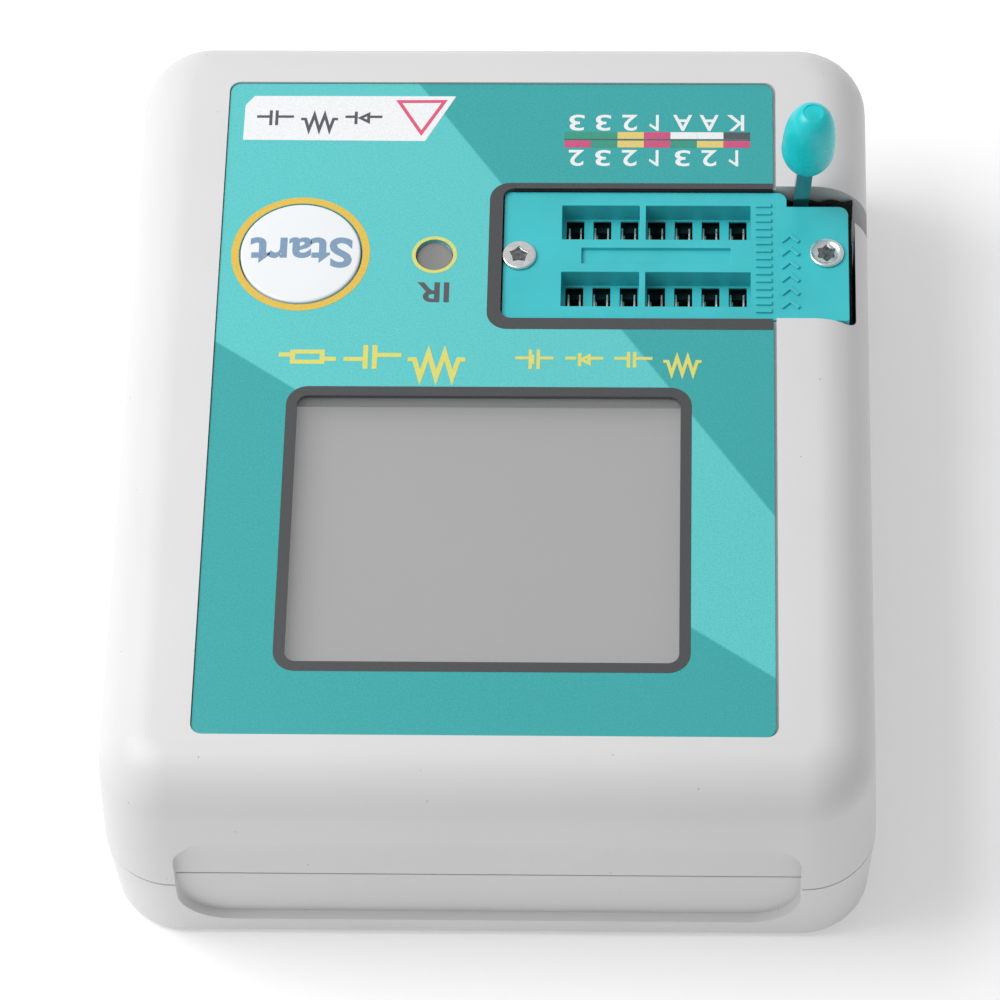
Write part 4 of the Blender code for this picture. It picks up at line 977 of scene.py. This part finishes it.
class TESTER_OT_tag(bpy.types.Operator):
    """White tag in the overlay's corner, with a plain triangle and circuit symbols"""
    bl_idname = "tester.tag"
    bl_label = "White tag"

    def execute(self, context):
        film = context.scene.tester_print
        low, high = print_heights(film)
        left, far = LABEL_LOW.x, LABEL_HIGH.y
        corners = [(left + x * MM, far - y * MM, 0)
                   for x, y in ((1.45, 6.7), (18.7, 6.8), (21.5, 1.5), (2.35, 1.5), (1.5, 2.6))]
        printed("print_tag", plate(corners, low, high), screen_ink("white tag ink", film.white))
        low, high = high - film.ink / 2, high + film.ink
        triangle = [(left + x * MM, far - y * MM) for x, y in ((15.8, 1.98), (18.3, 6.2), (20.7, 1.95))]
        printed("print_tag_triangle", line(triangle, 0.33 * MM, low, high, True),
                screen_ink("pink screen ink", film.pink))
        grey = screen_ink("grey tag ink", film.dark)
        for number, (kind, x) in enumerate((("capacitor", 4.4), ("resistor", 8.6), ("diode", 12.8)), 1):
            printed_symbol(f"print_tag_symbol_{number}", kind, (left + x * MM, far - 4.1 * MM), 1.75 * MM,
                           0.28 * MM, (low, high), grey)
        return {"FINISHED"}


# ---------------------------------------------------------------- controls and display
class TESTER_OT_controls(bpy.types.Operator):
    """Start button with its legend, infrared window and the clear pane"""
    bl_idname = "tester.controls"
    bl_label = "Button and windows"

    def execute(self, context):
        controls, film = context.scene.tester_controls, context.scene.tester_print
        self.make_button(controls, film)
        self.make_infrared(controls)
        pane = as_object("clear_pane", block(PANE_LOW, PANE_HIGH, film.window_radius, 6))
        soften(pane, 0.1 * MM)
        finished(pane, clear_acrylic(), "case", "clear_pane", "display_window")
        return {"FINISHED"}

    def make_button(self, controls, film):
        """Cap with its flange and stem, and its printed word."""
        low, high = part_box("start_button")
        radius, edge = controls.cap_radius, controls.cap_edge
        skirt = high.x - BUTTON.x
        flange, stem, foot = UNDER_LID - 1.1 * MM, 1.7 * MM, 0.2 * MM
        rim = 2 * edge / 3
        rounded = [(radius - edge + edge * cos(pi * i / 12), high.z - rim + rim * sin(pi * i / 12) - 0.05 * MM)
                   for i in range(7)]
        profile = [(0, low.z), (stem - foot, low.z), (stem, low.z + foot), (stem, flange), (skirt, flange),
                   (skirt, UNDER_LID), (radius, UNDER_LID)] + rounded
        profile += [(radius * 0.5, high.z - 0.02 * MM), (0, high.z)]
        cap = turned(profile, 96)
        turn(cap, Matrix.Translation((BUTTON.x, BUTTON.y, 0)))
        white = moulded("printed polycarbonate cap", controls.cap, 0.24, grain=0.4 * MM, wander=0.01)
        finished(("button_cap", cap), white, "button", "button_plastic", "start_button")
        legend = lettering("Start", (BUTTON.x + 0.05 * MM, BUTTON.y), (9.5 * MM, 3.45 * MM),
                           high.z - 0.06 * MM, high.z + 0.005 * MM, 0.024)
        finished(("button_legend", legend), screen_ink("blue-grey button ink", film.legend), "button",
                 "button_plastic")

    def make_infrared(self, controls):
        """Dished plug over the receiver."""
        low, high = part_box("infrared_window")
        plug, flange = controls.infrared_radius - 0.04 * MM, high.x - INFRARED.x
        dish, crown = 0.12 * MM, FILM_TOP - 0.42 * MM
        profile = [(0, low.z), (flange, low.z), (flange, UNDER_LID), (plug, UNDER_LID),
                   (plug, crown - dish / 2), (plug - dish / 2, crown), (plug - 3 * dish, crown),
                   (plug - 5 * dish, crown - dish / 2), (0, crown - dish)]
        lens = turned(profile, 48)
        turn(lens, Matrix.Translation((INFRARED.x, INFRARED.y, 0)))
        smoked = moulded("smoked polycarbonate", controls.infrared, 0.3, grain=0.5 * MM, wander=0.05)
        finished(("infrared_lens", lens), smoked, "case", "dark_plastic", "infrared_window")


# ---------------------------------------------------------------- socket
def trough_blocks(settings, low):
    """The two troughs, each split by its rib."""
    rib_x = SOCKET.x + PIN_PITCH * (settings.group - len(PIN_COLUMNS) / 2)
    left, right = SOCKET.x - settings.trough_length / 2, SOCKET.x + settings.trough_length / 2
    blocks = []
    for row in (1, 2):
        near, far = PINS[row, 1].y - settings.trough_width / 2, PINS[row, 1].y + settings.trough_width / 2
        blocks += [block((left, near, low), (rib_x - settings.rib / 2, far, FAR)),
                   block((rib_x + settings.rib / 2, near, low), (right, far, FAR))]
    return gathered(blocks)


class TESTER_OT_socket_cover(bpy.types.Operator):
    """Moulded cover of the test socket, with its troughs, slots and raised marks"""
    bl_idname = "tester.socket_cover"
    bl_label = "Socket cover"

    def execute(self, context):
        socket = context.scene.tester_socket
        left, near = COVER_LOW.xy
        right, far = COVER_HIGH.xy
        step_x, step_y = right - socket.step_length, far - socket.step
        small = socket.corner / 3
        corners = [(left, near, small), (right, near, small), (right, step_y, socket.corner),
                   (step_x, step_y, 0), (step_x, far, socket.corner), (left, far, small)]
        top = COVER_HIGH.z
        cover = as_object("socket_moulding", plate(corners, COVER_LOW.z, top))
        cut(cover, trough_blocks(socket, top - socket.trough_depth))
        reach_x, reach_y = socket.trough_length / 2, socket.trough_width / 2 + 1.05 * MM
        skin = top - socket.trough_depth - 0.25 * MM          # underside of the troughs' floor
        cut(cover, gathered(slab((SOCKET.x, PINS[row, 1].y), reach_x, reach_y, 0, skin) for row in (1, 2)))
        half, depth = socket.slot / 2, (socket.trough_width - GAP) / 2
        cut(cover, gathered(slab(pin, half, depth, 0, FAR) for pin in PINS.values()))
        cut(cover, slab(SOCKET, socket.mark_length / 2, socket.mark_width / 2, top - socket.mark_depth, FAR))
        shaft = context.scene.tester_lever.shaft_radius + GAP
        bore = rod((0, 0), -far - MM, -near - 1.2 * MM, shaft, 24)
        turn(bore, Matrix.Translation((LEVER_PIVOT.x, 0, LEVER_PIVOT.z)) @ Matrix.Rotation(pi / 2, 4, "X"))
        cut(cover, bore)
        hole = socket.rivet_radius * 0.55 + GAP
        cut(cover, gathered(rod(centre, 0, FAR, hole, 24) for centre in RIVETS.values()))
        soften(cover, socket.edge)
        teal = moulded("glass-filled polyester", socket.plastic, 0.36, grain=0.3 * MM, patch=4 * MM,
                       wander=0.05)
        finished(cover, teal, "case", "socket_plastic", "socket_cover")
        self.make_marks(socket, teal, top)
        return {"FINISHED"}

    def make_marks(self, socket, teal, top):
        """Raised ribs and chevrons on the end plate, which show which way the lever locks."""
        low, high = top - socket.raised / 2, top + socket.raised
        rib_count, rib_left, rib_right, half_rib = 15, 23.95 * MM, 25.45 * MM, 0.2 * MM
        ribs, chevrons = [], []
        for number in range(rib_count):
            y = COVER_LOW.y + (1.0 + number * 0.86) * MM
            ribs.append(block((rib_left, y - half_rib, low), (rib_right, y + half_rib, high)))
        left, middle, right, rise = 26.2 * MM, 27.15 * MM, 28.1 * MM, 0.9 * MM
        for number in range(6):
            y = COVER_LOW.y + (1.5 + number * 1.5) * MM
            chevrons.append(line([(left, y), (middle, y + rise), (right, y)], 0.36 * MM, low, high))
        for name, solids in (("socket_raised_ribs", ribs), ("socket_raised_chevrons", chevrons)):
            marks = as_object(name, gathered(solids))
            soften(marks, 0.06 * MM)
            finished(marks, teal, "case", "socket_plastic")


class TESTER_OT_contact_leaves(bpy.types.Operator):
    """Sprung leaves of the contacts, which show at both sides of each slot"""
    bl_idname = "tester.contact_leaves"
    bl_label = "Contact leaves"

    def execute(self, context):
        socket = context.scene.tester_socket
        foot = COVER_LOW.z - 0.2 * MM
        tip = COVER_HIGH.z - socket.trough_depth - 0.04 * MM
        reach = socket.slot / 2 - 0.14 * MM
        tin = metal("bright tin-plated bronze", linear("#F0F0EE"), 0.2, 0.3 * MM, (1, 1, 0.2))
        upright = Matrix.Rotation(pi / 2, 4, "X")
        for row in (1, 2):
            leaves = []
            for column in PIN_COLUMNS:
                pin = PINS[row, column]
                for side in (-1, 1):
                    leaf = line([(pin.x + side * reach, foot), (pin.x + side * reach, tip - 0.3 * MM),
                                 (pin.x + side * (reach - 0.09 * MM), tip)], 0.15 * MM,
                                -pin.y - MM, -pin.y + 1.45 * MM)
                    leaves.append(turn(leaf, upright))
            finished((f"contact_leaves_{row}", gathered(leaves)), tin, "case", "plated_steel")
        return {"FINISHED"}


class TESTER_OT_shade_strips(bpy.types.Operator):
    """Black strips of painted shade in the case's opening round the socket, pitted like foam"""
    bl_idname = "tester.gasket"
    bl_label = "Painted shade strips"

    def execute(self, context):
        opening = context.scene.tester_socket.opening
        case = context.scene.tester_case
        # This black is painted shade: the strips stand where the opening round the socket shows only deep
        # shadow.
        black = foam("black painted shade", linear("#141416"))
        far = COVER_HIGH.y
        wall_x = HALF_X - case.draft - case.notch_wall
        film_part = ragged((COVER_LOW.x + 0.9 * MM, far + opening / 2), (LABEL_HIGH.x, far + opening / 2),
                           opening * 0.8, SHELL_LOW.z, FILM_TOP - 0.12 * MM, 0.0)
        wall_part = ragged((LABEL_HIGH.x + GAP, far + GAP / 2), (wall_x - GAP / 2, far + GAP / 2),
                           GAP * 0.8, SHELL_LOW.z, COVER_HIGH.z - 1.3 * MM, 0.35 * MM)
        side_x = (COVER_HIGH.x + wall_x) / 2
        side_part = ragged((side_x, COVER_LOW.y + GAP), (side_x, far - case.lever_slot - GAP),
                           wall_x - COVER_HIGH.x - GAP / 3, SHELL_LOW.z, COVER_HIGH.z - 1.2 * MM, 0.3 * MM)
        finished(("socket_shade_strips", gathered([film_part, wall_part, side_part])), black, "case", "foam_tape")
        return {"FINISHED"}


def ragged(start, end, thick, low, high, drop):
    """Strip between two places, pitted like cut foam, whose upper edge wanders by up to a given drop; the
    socket's black painted shade is built from it.
    """
    steps = 24
    start, end = Vector(start), Vector(end)
    mesh = line([start.lerp(end, i / steps) for i in range(steps + 1)], thick, low, high)
    for vert in mesh.verts:
        if vert.co.z > (low + high) / 2:
            ripple = 0.5 + 0.5 * sin(vert.co.x * 2900 + vert.co.y * 4100)
            vert.co.z -= drop * ripple * abs(sin(vert.co.x * 1300 - vert.co.y * 900))
    return mesh


class TESTER_OT_rivets(bpy.types.Operator):
    """Two plated rivets that hold the socket together"""
    bl_idname = "tester.rivets"
    bl_label = "Socket rivets"

    def execute(self, context):
        radius = context.scene.tester_socket.rivet_radius
        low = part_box("socket_rivet_left")[0].z
        head, crown = COVER_HIGH.z + 0.01 * MM, COVER_HIGH.z + 0.36 * MM
        shank = radius * 0.52
        tail = [(0, low), (radius * 0.75, low), (radius * 0.75, low + radius / 2), (shank, low + radius / 2),
                (shank, head), (radius * 0.94, head)]
        edge = (crown - head) / 2
        rim = [(radius - edge + edge * cos(angle), head + edge + edge * sin(angle))
               for angle in (pi * i / 12 - pi / 3 for i in range(11))]
        tops = {"left": [(radius * 0.6, crown), (0, crown + 0.03 * MM)],
                "right": [(radius * 0.78, crown), (radius * 0.66, crown - 0.14 * MM), (0, crown - 0.2 * MM)]}
        sockets = {"left": (0.6, 5, 0.2), "right": (0.62, 6, 0.3)}
        nickel = metal("nickel-plated brass", linear("#F4F5F6"), 0.24, 0.5 * MM, wander=0.06)
        recess_grey = linear("#8E9092")
        for side, centre in RIVETS.items():
            reach, points, sink = sockets[side]
            rivet = as_object(f"rivet_{side}", turned(tail + rim + tops[side], 64))
            cut(rivet, self.star(radius * reach, points, crown - sink * MM))
            rivet.data.transform(Matrix.Translation((centre.x, centre.y, 0)))
            soften(rivet, 0.04 * MM, 50)
            finished(rivet, nickel, "case", "rivet_silver", f"socket_rivet_{side}")
            # Each punch recess gets a floor of a darker, strongly mottled grey.
            floor = self.star(radius * reach * 0.97, points, crown - sink * MM - 0.02 * MM, 0.03 * MM)
            turn(floor, Matrix.Translation((centre.x, centre.y, 0)))
            recess_metal = metal(f"{side} darker recess", recess_grey, 0.45, 0.3 * MM, wander=0.75)
            finished((f"rivet_{side}_recess", floor), recess_metal, "case", "rivet_silver")
        return {"FINISHED"}

    def star(self, reach, points, low, tall=MM):
        """Upright star with a number of points, the punch's mark in a rivet."""
        mesh = rod((0, 0), low, low + tall, reach, 2 * points)
        inner = [vert for vert in mesh.verts
                 if round(vert.co.xy.angle_signed(Vector((0, 1))) * points / pi) % 2]
        bmesh.ops.scale(mesh, vec=(0.72, 0.72, 1.0), verts=inner)
        return mesh


# ---------------------------------------------------------------- lever
class TESTER_OT_lever(bpy.types.Operator):
    """Lever with its cam shaft, and the knob moulded on its end"""
    bl_idname = "tester.lever"
    bl_label = "Lever"

    def execute(self, context):
        lever = context.scene.tester_lever
        place = Matrix.Translation(LEVER_PIVOT) @ Matrix.Rotation(lever.lean, 4, "Y")
        upright = Matrix.Rotation(pi / 2, 4, "X")
        half, top = lever.width / 2, lever.knob_start - GAP
        end = half * 0.98
        bar = plate([(-half, -half, end), (half, -half, end), (half, top, 0), (-half, top, 0)],
                    -lever.thick / 2, lever.thick / 2, 10)
        arm = as_object("lever_bar", turn(bar, upright))
        near = LEVER_PIVOT.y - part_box("lever_arm")[0].y
        collar = LEVER_PIVOT.y - (COVER_HIGH.y - context.scene.tester_socket.step) + 2 * GAP
        join(arm, turn(rod((0, 0), -lever.thick / 4, near, lever.shaft_radius * 0.6), upright))
        join(arm, turn(rod((0, 0), collar, near + GAP / 10, lever.shaft_radius), upright))
        cam_middle = LEVER_PIVOT.y - SOCKET.y
        cam = plate([(-2 * GAP, -lever.cam_radius, GAP), (2 * GAP, -lever.cam_radius, GAP), (2 * GAP, 0, 0),
                     (-2 * GAP, 0, 0)], cam_middle - lever.cam_width / 2, cam_middle + lever.cam_width / 2, 4)
        join(arm, turn(cam, upright))
        join(arm, rod((0, 0), top - GAP, top + 4 * MM, 0.6 * MM, 20))
        arm.data.transform(place)
        soften(arm, 0.12 * MM)
        steel = metal("polished spring steel", linear("#9A9C9E"), 0.2, 0.25 * MM, (1, 1, 0.12))
        finished(arm, steel, "lever", "lever_steel", "lever_arm")
        self.make_knob(context, lever, place)
        return {"FINISHED"}

    def make_knob(self, context, lever, place):
        """Egg-shaped knob, with a flat gate mark on its end."""
        steps, step_up = 18, 0.08 * MM
        radius, foot, widest = lever.knob_radius, lever.knob_foot, lever.knob_widest
        rise, swell, fullness = lever.knob_length - widest, 1.55, 2.7
        lower = [(foot + (radius - foot) * (1 - (1 - i / steps) ** swell) ** (1 / swell),
                  step_up + widest * i / steps) for i in range(steps)]
        upper = [(radius * (1 - sin(pi / 2 * i / steps) ** fullness) ** (1 / fullness),
                  widest + step_up + (rise - step_up) * sin(pi / 2 * i / steps)) for i in range(steps)]
        profile = [(0, 0), (foot - 0.1 * MM, 0)] + lower + upper + [(0, lever.knob_length)]
        mesh = turned(profile, 72)
        knob = as_object("lever_grip", turn(mesh, Matrix.Translation((0, 0, lever.knob_start))))
        cut(knob, rod((0, 0), 0, lever.knob_start + 4 * MM, 0.9 * MM, 24))
        gate = rod((0, -0.1 * MM), lever.knob_start + lever.knob_length - 0.2 * MM, FAR, 0.93 * MM, 40)
        cut(knob, gate)
        knob.data.transform(place)
        socket = context.scene.tester_socket
        teal = moulded("moulded nylon", socket.knob, 0.3, grain=0.5 * MM, patch=2.2 * MM, wander=0.09)
        finished(knob, teal, "lever", "knob_plastic", "lever_knob", sharp=40)


# ---------------------------------------------------------------- pieces kept from the frame
def fitting_finishes(controls, socket):
    """Material for each group of frame pieces that keep their own shape."""
    dark = moulded("black moulded epoxy", linear("#1F2023"), 0.45, wander=0.1)
    nylon = moulded("natural nylon", linear("#D9D3C2"), 0.4, wander=0.04)
    # Painted shade: the socket's base and slider get a near-black teal so that the gaps round the cover look
    # dark.
    shadowed = moulded("glass-filled polyester in painted shade", linear("#0A2A2C"), 0.4, grain=0.3 * MM, wander=0.05)
    tin = metal("tin-plated bronze", linear("#E4E4E2"), 0.24, 0.3 * MM, (1, 1, 0.2))
    steel = metal("zinc-plated steel", linear("#B9BCC0"), 0.3, 0.6 * MM)
    shield = metal("tinned steel sheet", linear("#A9ABAE"), 0.35, 0.8 * MM, (0.2, 1, 1))
    return {
        "contact_": tin, "case_screw_": steel, "board_screw_": steel, "crystal": shield,
        "usb_socket": shield, "display_frame": shield, "main_board": board_laminate(),
        "microcontroller": dark, "charge_chip": dark, "usb_tongue": dark, "switch_": dark,
        "infrared_receiver": dark, "display_bracket": nylon, "battery_header": nylon,
        "battery_plug": nylon, "battery_cell": battery_foil(),
        "battery_tape": foam("closed-cell foam tape", linear("#26272A")),
        "battery_lead_red": moulded("red silicone insulation", linear("#B3262B"), 0.5, wander=0.06),
        "battery_lead_black": moulded("black silicone insulation", linear("#1B1B1D"), 0.5, wander=0.08),
        # The display panel's grey is mostly a painted glow, not lit colour.
        "display_ribbon": flexible_circuit(), "display_panel": screen_film_painted_glow(controls.screen),
        "socket_base": shadowed, "socket_slider": shadowed,
    }


class TESTER_OT_fittings(bpy.types.Operator):
    """Materials of the pieces that keep the frame's own shape"""
    bl_idname = "tester.fittings"
    bl_label = "Inner pieces"

    def execute(self, context):
        finishes = fitting_finishes(context.scene.tester_controls, context.scene.tester_socket)
        for name, node in NODES.items():
            if node.hide_render:
                continue
            material = next((finishes[key] for key in finishes if name.startswith(key)), None)
            if material is None:
                raise ValueError(f"no finish for {name}")
            for slot in node.material_slots:
                slot.material = material
        return {"FINISHED"}


# ---------------------------------------------------------------- stage
class TESTER_OT_stage(bpy.types.Operator):
    """Pale floor, soft lights and the camera"""
    bl_idname = "tester.stage"
    bl_label = "Stage"

    def execute(self, context):
        stage = context.scene.tester_stage
        self.make_floor(context, stage)
        self.make_lights(context, stage)
        self.make_camera(context, stage)
        return {"FINISHED"}

    def make_floor(self, context, stage):
        """Paper that the tester lies on."""
        mesh = bmesh.new()
        bmesh.ops.create_grid(mesh, x_segments=1, y_segments=1, size=3.0)
        floor = as_object("floor", mesh)
        paper = plain("matt paper", stage.floor, 0.9, Specular_IOR_Level=0.1, Emission_Strength=0.2,
                      Emission_Color=(1.0, 1.0, 1.0, 1.0))
        fibre = texture(paper, 1.5 * MM, 3.0)
        mottle(paper, fibre, shaded(stage.floor, 0.995), stage.floor)
        floor.data.materials.append(paper)
        floor.location.z = -0.02 * MM

    def make_lights(self, context, stage):
        """Soft surroundings, brighter on the left and the far side, and one close key light."""
        world = bpy.data.worlds.new("studio")
        world.use_nodes = True
        background = world.node_tree.nodes["Background"]
        background.inputs["Color"].default_value = (1.0, 1.0, 1.0, 1.0)
        direction = add_node(world, "ShaderNodeTexCoord").outputs["Generated"]
        towards = add_node(world, "ShaderNodeVectorMath", {0: direction, 1: (-0.28, 0.25, 0.0)},
                           operation="DOT_PRODUCT")
        level = add_node(world, "ShaderNodeMath", {0: towards.outputs["Value"], 1: stage.ambient,
                                                   2: stage.ambient}, operation="MULTIPLY_ADD")
        world.node_tree.links.new(level.outputs[0], background.inputs["Strength"])
        context.scene.world = world
        lamp = bpy.data.lights.new("key", "AREA")
        lamp.shape = "SQUARE"
        lamp.size = 0.3
        lamp.energy = 1.4
        holder = linked("key", lamp)
        holder.location = (-0.25, 0.02, 0.38)
        holder.rotation_euler = (-holder.location).to_track_quat("-Z", "Y").to_euler()
        context.scene.view_settings.view_transform = "Standard"

    def make_camera(self, context, stage):
        """Long lens, looking down on the tester from its near end."""
        data = bpy.data.cameras.new("camera")
        data.lens = stage.lens
        camera = linked("camera", data)
        turned_by = (Matrix.Rotation(stage.yaw, 4, "Z") @ Matrix.Rotation(stage.tilt, 4, "X")
                     @ Matrix.Rotation(stage.roll, 4, "Z"))
        camera.matrix_world = Matrix.Translation(Vector((17.712, -277.436, 434.436)) * MM) @ turned_by
        context.scene.camera = camera


class TESTER_PT_panel(bpy.types.Panel):
    """Lists the tester's pieces in the sidebar"""
    bl_idname = "TESTER_PT_panel"
    bl_label = "Component tester"
    bl_space_type = "VIEW_3D"
    bl_region_type = "UI"
    bl_category = "Tester"

    def draw(self, context):
        for operator in OPERATORS:
            self.layout.operator(operator.bl_idname)
        for name in SETTINGS:
            group = getattr(context.scene, name)
            box = self.layout.box()
            for key in group.__annotations__:
                box.prop(group, key)


SETTINGS = {"tester_case": CaseSettings, "tester_print": PrintSettings, "tester_controls": ControlSettings,
            "tester_socket": SocketSettings, "tester_lever": LeverSettings, "tester_stage": StageSettings}
OPERATORS = (TESTER_OT_upper_shell, TESTER_OT_lower_shell, TESTER_OT_overlay, TESTER_OT_borders,
             TESTER_OT_pin_legend, TESTER_OT_symbols, TESTER_OT_tag, TESTER_OT_controls,
             TESTER_OT_socket_cover, TESTER_OT_contact_leaves, TESTER_OT_shade_strips, TESTER_OT_rivets,
             TESTER_OT_lever, TESTER_OT_fittings, TESTER_OT_stage)


def register():
    """Registers the classes and hangs the settings on the scene."""
    for group in SETTINGS.values():
        bpy.utils.register_class(group)
    for item in (*OPERATORS, TESTER_PT_panel):
        bpy.utils.register_class(item)
    for name, group in SETTINGS.items():
        setattr(bpy.types.Scene, name, PointerProperty(type=group))


def unregister():
    """Undoes register()."""
    for name in SETTINGS:
        delattr(bpy.types.Scene, name)
    for item in (TESTER_PT_panel, *reversed(OPERATORS)):
        bpy.utils.unregister_class(item)
    for group in reversed(SETTINGS.values()):
        bpy.utils.unregister_class(group)


def main():
    """Runs every operator in turn."""
    register()
    for operator in OPERATORS:
        category, name = operator.bl_idname.split(".")
        getattr(getattr(bpy.ops, category), name)()


if __name__ == "__main__":
    main()
